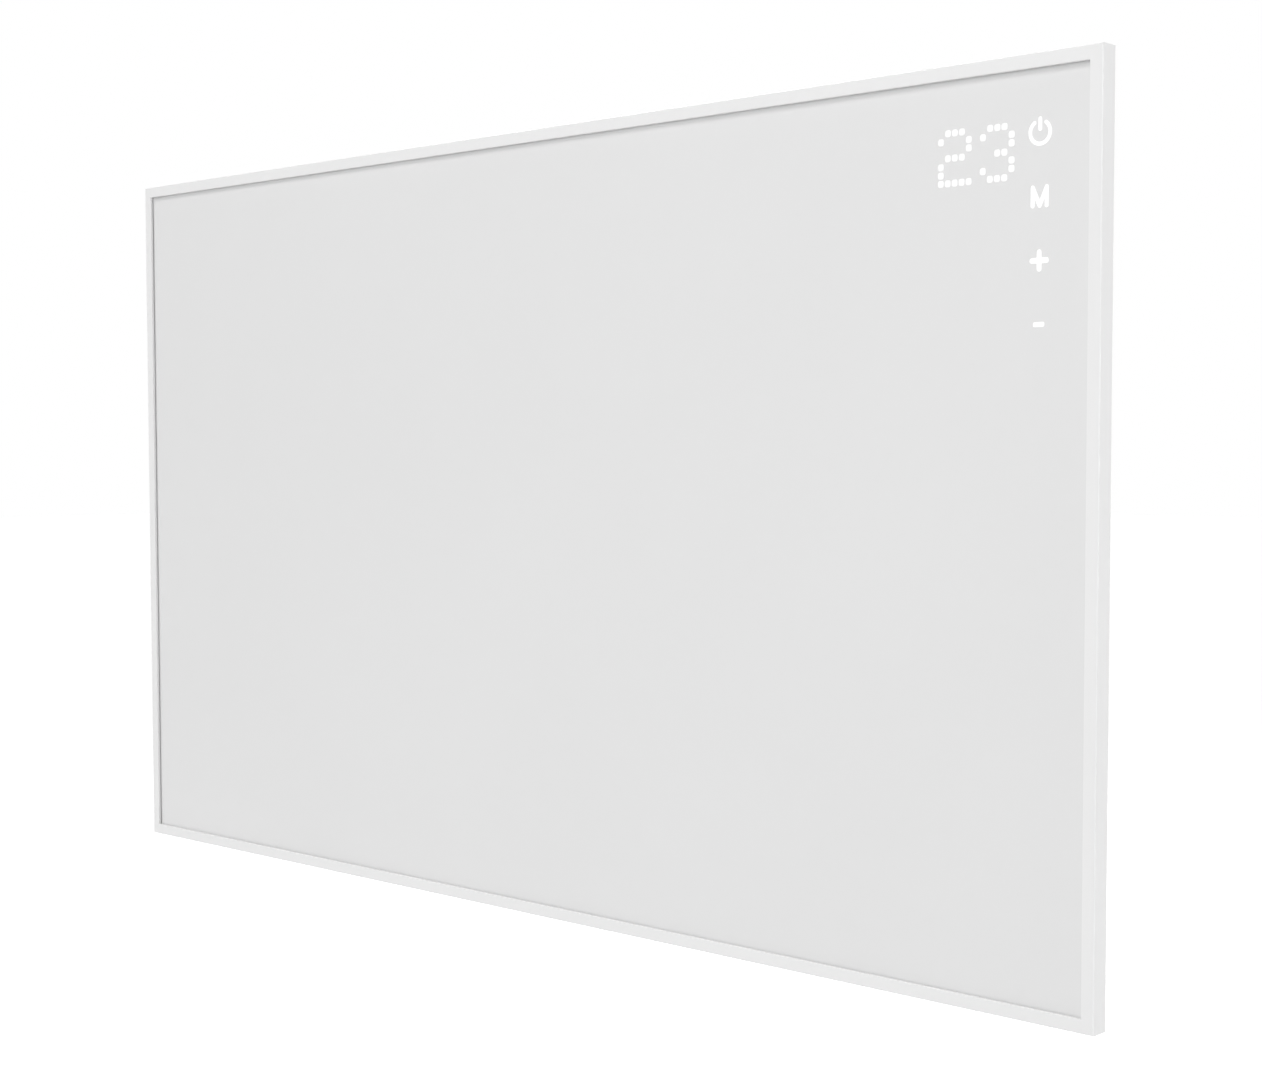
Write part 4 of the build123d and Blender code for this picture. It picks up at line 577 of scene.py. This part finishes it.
screw_places = []
for count, span, reach in ((screw_counts[0], panel_high.x, panel_high.z),
                           (screw_counts[1], panel_high.z, panel_high.x)):
    for number in range(count):
        along = (span - screw_end_gap) * (2 * number / (count - 1) - 1)
        for side in (-1, 1):
            inward = side * (reach - cover_screw_inset)
            upright = span == panel_high.z
            screw_places.append((inward, cover_y, along) if upright else (along, cover_y, inward))
sizes = {"Head radius": 2.0 * mm, "Head height": 1.3 * mm, "Shank radius": 1.1 * mm, "Shank length": 5.0 * mm,
         "Recess reach": 2.3 * mm, "Recess width": 0.55 * mm}
tree = screw_tree("cover_screws", sizes, zinc_plate, cover_screw_seed)
new_piece("cover_screws", grown("cover_screws", screw_places, tree, sizes), stands_for=["rear_cover_screws"])

# ---------------------------------------------------------------- thermal cut-out and heater leads
# A small glazed ceramic cut-out sits on the back of the film, in line with one of the two heater leads.
# The leads are tinned copper in red-brown silicone, and pass through a hole in the rear cover.
ceramic = mottled("glazed_ceramic", dark=(0.80, 0.76, 0.66), light=(0.88, 0.85, 0.78), roughness=0.3,
                  patch=5 * mm, grain=0.5 * mm, height=0.01 * mm)
silicone = mottled("silicone_sleeve", dark=(0.42, 0.11, 0.07), light=(0.58, 0.18, 0.12), roughness=0.55,
                   patch=4 * mm, grain=0.25 * mm, height=0.01 * mm)
wear(ceramic, "thermal_cutout")
wear(silicone, "heater_leads")

# ---------------------------------------------------------------- display board
# Behind the windows: a black comb that parts the lamps, the lamps on their green board, and a coil
# spring from the board to the glass behind each touch mark. A pin header joins it to the power board.
weave_scale = 0.16 / mm
weave_wander = 0.4
weave_height = 0.01 * mm


def green_mask(name, dark, light):
    """Solder mask over woven glass fibre: the weave shows as fine crossed ribs."""
    finish = mottled(name, dark=dark, light=light, roughness=0.28, patch=12 * mm, grain=0.6 * mm,
                     height=0.005 * mm)
    tree = finish.node_tree
    ribs = [step(tree, "ShaderNodeTexWave",
                 {"Vector": own_place(finish), "Scale": weave_scale, "Distortion": weave_wander},
                 bands_direction=direction).outputs["Fac"] for direction in ("X", "Z")]
    weave = step(tree, "ShaderNodeMath", {0: ribs[0], 1: ribs[1]}, operation="MULTIPLY")
    emboss(finish, weave.outputs[0], weave_height)
    return finish


solder_mask = green_mask("green_solder_mask", (0.035, 0.22, 0.09), (0.06, 0.32, 0.14))
black_moulding = mottled("black_moulding", dark=(0.030, 0.030, 0.032), light=(0.052, 0.052, 0.054),
                         roughness=0.5, patch=6 * mm, grain=0.25 * mm, height=0.01 * mm)
lamp_body = mottled("lamp_body", dark=(0.86, 0.85, 0.76), light=(0.95, 0.94, 0.88), roughness=0.3,
                    patch=1.5 * mm, grain=0.2 * mm, height=0.005 * mm)
gilt_wire = mottled("gilt_spring_wire", dark=(0.68, 0.56, 0.30), light=(0.86, 0.76, 0.50), roughness=0.25,
                    patch=3 * mm, grain=0.2 * mm, height=0.003 * mm, metallic=1.0)
wear(solder_mask, "display_board", "power_board")
wear(black_moulding, "light_mask", "control_chips", "link_header", "power_supply_module", "buzzer")
wear(lamp_body, "display_leds")
wear(gilt_wire, "touch_springs")
wear(zinc_plate, "board_screws")

# ---------------------------------------------------------------- control box
# A white moulded tray is screwed to the cover by its flange, and a flat lid with cooling slots closes it.
# Its edges come soft from the mould and its faces carry a fine spark texture.
moulding_white = mottled("white_moulding", dark=(0.82, 0.82, 0.82), light=(0.84, 0.84, 0.84), roughness=0.48,
                         patch=45 * mm, grain=0.35 * mm, height=0.02 * mm)
box_edge = 0.35 * mm
loose_gap = 0.002 * mm
flat_angle = 0.5
corner_angle = 50


def softened(name, node, finish, width, segments=2):
    """A copy of a construction node's mesh, its loose triangles joined and its sharp edges rounded."""
    bm = bmesh.new()
    bm.from_mesh(nodes[node].data)
    bmesh.ops.remove_doubles(bm, verts=bm.verts, dist=loose_gap)
    bmesh.ops.dissolve_limit(bm, angle_limit=math.radians(flat_angle), verts=bm.verts, edges=bm.edges)
    return with_modifiers(name, finished_mesh(name, bm, finish),
                          ("BEVEL", {"width": width, "segments": segments, "limit_method": "ANGLE",
                                     "angle_limit": math.radians(corner_angle), "use_clamp_overlap": True,
                                     "harden_normals": True}))


new_piece("moulded_tray", softened("moulded_tray", "control_box", moulding_white, box_edge),
          stands_for=["control_box"])
new_piece("moulded_lid", softened("moulded_lid", "control_box_lid", moulding_white, box_edge),
          stands_for=["control_box_lid"])

# ---------------------------------------------------------------- control box screws
# Eight zinc-plated screws hold the flange to the cover, and four hold the lid to the tray's posts.
# They are a size larger than the cover's, with the same head and cross recess.
box_screw_seed = 8
flange_seat = 14.9 * mm
lid_seat = 35.3 * mm
flange_screws = ((18.45, 70.4875), (18.45, 167.4625), (149.95, 70.4875), (149.95, 167.4625),
                 (53.325, 18.0), (115.075, 18.0), (53.325, 219.95), (115.075, 219.95))
lid_screws = ((27.45, 27.0), (140.95, 27.0), (27.45, 210.95), (140.95, 210.95))
screw_places = [spot(u * mm, v * mm, flange_seat) for u, v in flange_screws]
screw_places += [spot(u * mm, v * mm, lid_seat) for u, v in lid_screws]
sizes = {"Head radius": 2.7 * mm, "Head height": 1.5 * mm, "Shank radius": 1.45 * mm,
         "Shank length": 6.5 * mm, "Recess reach": 3.2 * mm, "Recess width": 0.75 * mm}
tree = screw_tree("box_screws", sizes, zinc_plate, box_screw_seed)
new_piece("box_screws", grown("box_screws", screw_places, tree, sizes), stands_for=["control_box_screws"])

# ---------------------------------------------------------------- power board parts
# Relay, fuse, radio module and clamp terminals are soldered to the power board, under the lid's slots.
# A separate terminal block beside it takes the mains, and a zinc-plated pillar takes the earth.
relay_case = mottled("blue_relay_case", dark=(0.06, 0.13, 0.33), light=(0.09, 0.18, 0.42), roughness=0.35,
                     patch=8 * mm, grain=0.3 * mm, height=0.01 * mm)
fuse_tube = mottled("fuse_tube", dark=(0.78, 0.82, 0.82), light=(0.88, 0.91, 0.91), roughness=0.12,
                    patch=2 * mm, grain=0.5 * mm, height=0.003 * mm)
tin_can = mottled("tin_shield", dark=(0.66, 0.66, 0.64), light=(0.80, 0.80, 0.78), roughness=0.32,
                  patch=4 * mm, grain=0.5 * mm, height=0.006 * mm, metallic=1.0)
clamp_green = mottled("green_clamp_body", dark=(0.09, 0.34, 0.16), light=(0.13, 0.44, 0.22), roughness=0.4,
                      patch=6 * mm, grain=0.3 * mm, height=0.01 * mm)
grey_moulding = mottled("grey_moulding", dark=(0.50, 0.51, 0.52), light=(0.58, 0.59, 0.60), roughness=0.45,
                        patch=9 * mm, grain=0.3 * mm, height=0.012 * mm)
wear(relay_case, "relay")
wear(fuse_tube, "fuse")
wear(tin_can, "wireless_module")
wear(clamp_green, "board_terminals")
wear(grey_moulding, "terminal_block", "gland_locknut")
wear(zinc_plate, "terminal_screws", "earth_pillar")

# ---------------------------------------------------------------- inner leads and earth
# Brown live and blue neutral leads lie side by side, so the colour changes between their two places.
# The earth lead is green with a yellow stripe, and ends in a ring tag under a brass screw.
live_neutral_line = 415.5 * mm
stripe_pitch = 2.6 * mm
stripe_per_scale = 0.314


def two_tone(name, first, second, pattern):
    """Insulation in two colours that change where the pattern passes a half."""
    finish = mottled(name, dark=first, light=second, roughness=0.35, patch=5 * mm, grain=0.3 * mm,
                     height=0.006 * mm)
    sharp = step(finish.node_tree, "ShaderNodeMath", {0: pattern(finish), 1: 0.5}, operation="GREATER_THAN")
    tint(finish, sharp.outputs[0], first, second)
    return finish


def side_of_line(finish):
    """0 on the neutral lead's side of the line between the leads, 1 on the live lead's."""
    across = step(finish.node_tree, "ShaderNodeSeparateXYZ", {0: own_place(finish)}).outputs["X"]
    beyond = step(finish.node_tree, "ShaderNodeMath", {0: across, 1: live_neutral_line},
                  operation="GREATER_THAN")
    return beyond.outputs[0]


def stripes(finish):
    """Slanting stripes: a wave texture of scale 1 has one stripe in every stripe_per_scale metres."""
    wave = step(finish.node_tree, "ShaderNodeTexWave",
                {"Vector": own_place(finish), "Scale": stripe_per_scale / stripe_pitch},
                bands_direction="DIAGONAL")
    return wave.outputs["Fac"]


wear(two_tone("mains_insulation", (0.05, 0.16, 0.45), (0.27, 0.14, 0.07), side_of_line), "mains_leads")
wear(two_tone("earth_insulation", (0.12, 0.45, 0.10), (0.85, 0.75, 0.08), stripes), "earth_lead")
brass = mottled("bare_brass", dark=(0.68, 0.52, 0.24), light=(0.84, 0.68, 0.38), roughness=0.3, patch=4 * mm,
                grain=0.3 * mm, height=0.006 * mm, metallic=1.0)
wear(brass, "earth_screw", "switch_blades")

# ---------------------------------------------------------------- room sensor
# A black moulded capsule looks out through the bottom of the box, so that it reads the room's air.
# It holds a bead thermistor in resin, on a thin black lead to the power board.
wear(black_moulding, "room_sensor")

# ---------------------------------------------------------------- cable gland
# A grey polyamide gland in the bottom of the box: a hexagon collar, a rubber sleeve, and a dome nut
# whose corners are turned off. The photograph shows no cord, so it stands open.
gland_axis = spot(80.45 * mm, 0, 24.3 * mm)
box_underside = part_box("control_box_lid")[0].z
gland_flat = 7.5 * mm
gland_points = 96
lead_bore = 3.9
seal_bore = 4.8
nut_opening = 4.0
nut_thread = 6.05
dome_radius = 7.5
hexagon_corner = 8.66
thread_radius = 6.0
thread_depth = 0.35
thread_length = 12.0
thread_step = 0.75
thread_corners = 16
rubber = mottled("seal_rubber", dark=(0.040, 0.040, 0.040), light=(0.075, 0.075, 0.075), roughness=0.75,
                 patch=3 * mm, grain=0.25 * mm, height=0.012 * mm)
wear(rubber, "gland_seal")


def ring_of(profile, flats):
    """A closed ring about the gland's axis, from a closed loop of (radius, drop below the box) in mm.
    A radius beyond the flats is cut to a hexagon."""
    bm = bmesh.new()
    rings = []
    for count in range(gland_points):
        angle = 2 * math.pi * count / gland_points
        from_flat = angle % (math.pi / 3) - math.pi / 6
        ring = []
        for radius, drop in profile:
            radius = min(radius * mm, flats / math.cos(from_flat))
            across = gland_axis.x + radius * math.sin(angle)
            back = gland_axis.y - radius * math.cos(angle)
            ring.append(bm.verts.new((across, back, box_underside - drop * mm)))
        rings.append(ring)
    for count in range(gland_points):
        near, far = rings[count - 1], rings[count]
        for place in range(len(profile)):
            bm.faces.new((near[place - 1], near[place], far[place], far[place - 1]))
    bmesh.ops.recalc_face_normals(bm, faces=bm.faces)
    return bm


thread = [(thread_radius - thread_depth * (corner % 2), thread_step * corner - thread_length)
          for corner in range(thread_corners)]
collar = [(thread_radius, 0.0), (8.0, 0.0), (hexagon_corner, 0.6), (hexagon_corner, 4.4), (8.0, 5.0),
          (thread_radius, 5.0)]
sleeve = [(thread_radius, 14.7), (5.7, 15.0), (seal_bore, 15.0), (seal_bore, 5.0), (lead_bore, 5.0)]
body_profile = [(lead_bore, -thread_length)] + thread + collar + sleeve
hexagon = [(nut_thread, 6.3), (6.4, 6.0), (8.0, 6.0), (hexagon_corner, 6.7), (hexagon_corner, 15.1),
           (8.1, 15.9)]
dome = [(dome_radius, 16.1), (dome_radius, 18.7), (7.35, 19.6), (6.95, 20.3), (6.3, 20.8), (5.5, 21.0),
        (4.3, 21.0)]
nut_profile = hexagon + dome + [(nut_opening, 20.7), (nut_opening, 16.0), (nut_thread, 16.0)]
for name, node, profile in (("gland_collar", "gland_body", body_profile),
                            ("gland_dome_nut", "gland_nut", nut_profile)):
    new_piece(name, finished_mesh(name, ring_of(profile, gland_flat), grey_moulding, sharp=30),
              stands_for=[node])

# ---------------------------------------------------------------- mains switch
# A black snap-in rocker switch in the right wall of the box, with red push-on sleeves on its blades.
# The rocker's edges are rounded, and a plain I and O are printed on its two halves.
switch_black = mottled("switch_black", dark=(0.028, 0.028, 0.030), light=(0.048, 0.048, 0.050), roughness=0.3,
                       patch=5 * mm, grain=0.3 * mm, height=0.008 * mm)
sleeve_red = mottled("red_sleeve", dark=(0.60, 0.07, 0.05), light=(0.74, 0.12, 0.09), roughness=0.35,
                     patch=4 * mm, grain=0.3 * mm, height=0.008 * mm)
mark_white = mottled("printed_white", dark=(0.80, 0.80, 0.80), light=(0.90, 0.90, 0.90), roughness=0.5,
                     patch=1 * mm, grain=0.2 * mm, height=0.003 * mm)
rocker_pivot = spot(24.45 * mm, 110 * mm, 24.3 * mm)
rocker_waist = Vector((3.141 * mm, 0, 0.611 * mm))
rocker_throw = 22.0
rocker_edge = 0.4 * mm
bar_half_width = 0.45 * mm
bar_half_height = 1.7 * mm
ring_outer_radius = 1.9 * mm
ring_inner_radius = 1.1 * mm
mark_rise = 4.4 * mm
mark_lift = 0.05 * mm
mark_thickness = 0.12 * mm
wear(switch_black, "switch_housing")
wear(sleeve_red, "spade_sleeves")
new_piece("rocker_cap", softened("rocker_cap", "switch_rocker", switch_black, rocker_edge, segments=3),
          body="rocker", stands_for=["switch_rocker"])


def raised_loops(bm, loops, place):
    """A thin printed mark between loops of (across, up), laid on a face by its matrix."""
    edges = []
    for loop in loops:
        ring = [bm.verts.new(place @ Vector((0.0, across, up))) for across, up in loop]
        edges += [bm.edges.new((ring[count - 1], ring[count])) for count in range(len(ring))]
    bmesh.ops.triangle_fill(bm, edges=edges, use_beauty=True)


def circle(radius, points=32):
    """A closed loop of (across, up) round a circle."""
    return [(radius * math.cos(2 * math.pi * count / points), radius * math.sin(2 * math.pi * count / points))
            for count in range(points)]


bar = [(-bar_half_width, -bar_half_height), (bar_half_width, -bar_half_height),
       (bar_half_width, bar_half_height), (-bar_half_width, bar_half_height)]
ring = (circle(ring_outer_radius), circle(ring_inner_radius))
waist = Matrix.Translation(rocker_pivot + rocker_waist)
bm = bmesh.new()
for loops, lean, side in (((bar,), 0.0, 1), (ring, -rocker_throw, -1)):
    on_face = Matrix.Translation((mark_lift, 0, side * mark_rise))
    raised_loops(bm, loops, waist @ Matrix.Rotation(math.radians(lean), 4, "Y") @ on_face)
bmesh.ops.recalc_face_normals(bm, faces=bm.faces)
marks = finished_mesh("rocker_marks", bm, mark_white)
marks = with_modifiers("rocker_marks", marks, ("SOLIDIFY", {"thickness": mark_thickness, "offset": 0.0}))
new_piece("rocker_marks", marks, body="rocker")

# ---------------------------------------------------------------- wall brackets
# Four pressed hats of galvanised steel hold the heater off the wall. Each is bent from one strip, and
# hangs on a screw head by the keyhole in its top.
bracket_edge = 0.25 * mm
for corner in ("upper_left", "upper_right", "lower_left", "lower_right"):
    name = "hat_bracket_" + corner
    node = "wall_bracket_" + corner
    new_piece(name, softened(name, node, zinc_sheet, bracket_edge), stands_for=[node])

# ---------------------------------------------------------------- bracket rivets
# Aluminium blind rivets join the brackets to the cover, four to each. Pulling the mandrel swells the tail
# behind the cover and leaves a small pit in the head.
rivet_seat = 14.8 * mm
rivet_points = 24
bracket_places = ((-300, 200), (300, 200), (-300, -200), (300, -200))
rivet_across = 30
rivet_up = 18
rivet_alloy = mottled("rivet_alloy", dark=(0.62, 0.63, 0.64), light=(0.78, 0.79, 0.80), roughness=0.38,
                      patch=2 * mm, grain=0.25 * mm, height=0.006 * mm, metallic=1.0)
rivet_head = ((1.0, 0.0), (1.0, 0.25), (0.93, 0.62), (0.75, 0.88), (0.50, 1.0), (0.34, 1.0), (0.27, 0.92),
              (0.25, 0.45))
rivet_shank = ((1.0, 0.0), (1.0, 1.0))
rivet_tail = ((0.9, 0.0), (1.0, 0.3), (0.9, 0.75), (0.6, 1.0))
rivet_places = [((x + across * rivet_across) * mm, spot(0, 0, rivet_seat).y, (z + up * rivet_up) * mm)
                for x, z in bracket_places for across in (-1, 1) for up in (-1, 1)]
sizes = {"Head radius": 4.0 * mm, "Head height": 1.2 * mm, "Shank radius": 2.0 * mm, "Grip": 2.3 * mm,
         "Tail radius": 2.8 * mm, "Tail length": 1.8 * mm}
tree, size = new_tree("blind_rivets", sizes)
head = turned(tree, size["Head radius"], size["Head height"], rivet_head)
shank = turned(tree, size["Shank radius"], size["Grip"], rivet_shank, rivet_points)
shank = step(tree, "GeometryNodeTransform", {"Geometry": shank, "Rotation": (math.pi, 0, 0)})
tail = turned(tree, size["Tail radius"], size["Tail length"], rivet_tail, rivet_points)
grip_down = step(tree, "ShaderNodeMath", {0: size["Grip"], 1: -1.0}, operation="MULTIPLY")
tail_place = step(tree, "ShaderNodeCombineXYZ", {"Z": grip_down.outputs[0]})
tail = step(tree, "GeometryNodeTransform", {"Geometry": tail, "Rotation": (math.pi, 0, 0),
            "Translation": tail_place.outputs[0]})
whole = step(tree, "GeometryNodeJoinGeometry", {"Geometry": head})
for part in (shank, tail):
    tree.links.new(part.outputs[0], whole.inputs[0])
placed = step(tree, "GeometryNodeInstanceOnPoints", {"Points": size["Places"], "Instance": whole.outputs[0],
              "Rotation": (-math.pi / 2, 0, 0)})
close_tree(tree, placed.outputs[0], rivet_alloy)
new_piece("blind_rivets", grown("blind_rivets", rivet_places, tree, sizes), stands_for=["bracket_rivets"])

# ---------------------------------------------------------------- studio
# A plain white room with a pale floor: daylight from the upper left, a little even light from all round, and
# soft lamps in front, at the right side and behind. To the eye alone the room is white, and the floor is
# lifted to white far off and hardly at all near the object, so that it keeps the object's shadow.
floor_drop = 0.75
floor_size = 60.0
floor_colour = (0.86, 0.86, 0.86)
near_floor_lift = 0.06
far_floor_lift = 0.47
lift_start = 1.5
lift_end = 3.6
room_light = 0.25
lamps = {"daylight": ("SUN", (-1.1, -3.1, 4.0), {"angle": 0.32, "energy": 1.36}),
         "front_lamp": ("AREA", (0.5, -2.2, 1.1), {"size": 1.2, "energy": 15.0}),
         "side_lamp": ("AREA", (3.0, 0.3, 0.4), {"size": 1.2, "energy": 28.0}),
         "rear_lamp": ("AREA", (-3.0, 2.6, 3.0), {"size": 1.6, "energy": 135.0})}


def seen_directly(tree):
    """1 for rays from the eye, from a mirror or through glass, else 0."""
    path = step(tree, "ShaderNodeLightPath", {})
    first = step(tree, "ShaderNodeMath", {0: path.outputs["Is Camera Ray"], 1: path.outputs["Is Glossy Ray"]},
                 operation="MAXIMUM")
    return step(tree, "ShaderNodeMath", {0: first.outputs[0], 1: path.outputs["Is Transmission Ray"]},
                operation="MAXIMUM").outputs[0]


world = bpy.data.worlds.new("white_room")
world.use_nodes = True
room = world.node_tree
background = room.nodes["Background"]
background.inputs["Color"].default_value = (1, 1, 1, 1)
strength = step(room, "ShaderNodeMapRange",
                {"Value": seen_directly(room), "To Min": room_light, "To Max": 1.0})
room.links.new(strength.outputs[0], background.inputs["Strength"])
bpy.context.scene.world = world

floor_finish = new_finish("pale_floor", floor_colour, 0.9)
shader_of(floor_finish).inputs["Emission Color"].default_value = (1, 1, 1, 1)
floor_tree = floor_finish.node_tree
floor_place = step(floor_tree, "ShaderNodeTexCoord", {})
from_middle = step(floor_tree, "ShaderNodeVectorMath", {0: floor_place.outputs["Object"]}, operation="LENGTH")
floor_lift = step(floor_tree, "ShaderNodeMapRange",
                  {"Value": from_middle.outputs["Value"], "From Min": lift_start, "From Max": lift_end,
                   "To Min": near_floor_lift, "To Max": far_floor_lift})
lift = step(floor_tree, "ShaderNodeMath", {0: seen_directly(floor_tree), 1: floor_lift.outputs[0]},
            operation="MULTIPLY")
floor_tree.links.new(lift.outputs[0], shader_of(floor_finish).inputs["Emission Strength"])
floor_height = construction_box[0].z - floor_drop
half_floor = floor_size / 2
floor_mesh = bpy.data.meshes.new("floor")
floor_mesh.from_pydata([(-half_floor, -half_floor, floor_height), (half_floor, -half_floor, floor_height),
                        (half_floor, half_floor, floor_height), (-half_floor, half_floor, floor_height)],
                       [], [(0, 1, 2, 3)])
floor_mesh.materials.append(floor_finish)
floor = bpy.data.objects.new("floor", floor_mesh)
collection.objects.link(floor)

for name, (kind, place, settings) in lamps.items():
    lamp_data = bpy.data.lights.new(name, kind)
    for setting, value in settings.items():
        setattr(lamp_data, setting, value)
    lamp = bpy.data.objects.new(name, lamp_data)
    turn = Vector(place).to_track_quat("Z", "Y").to_matrix().to_4x4()
    lamp.matrix_world = Matrix.Translation(place) @ turn
    collection.objects.link(lamp)

bpy.context.scene.view_settings.view_transform = "Standard"
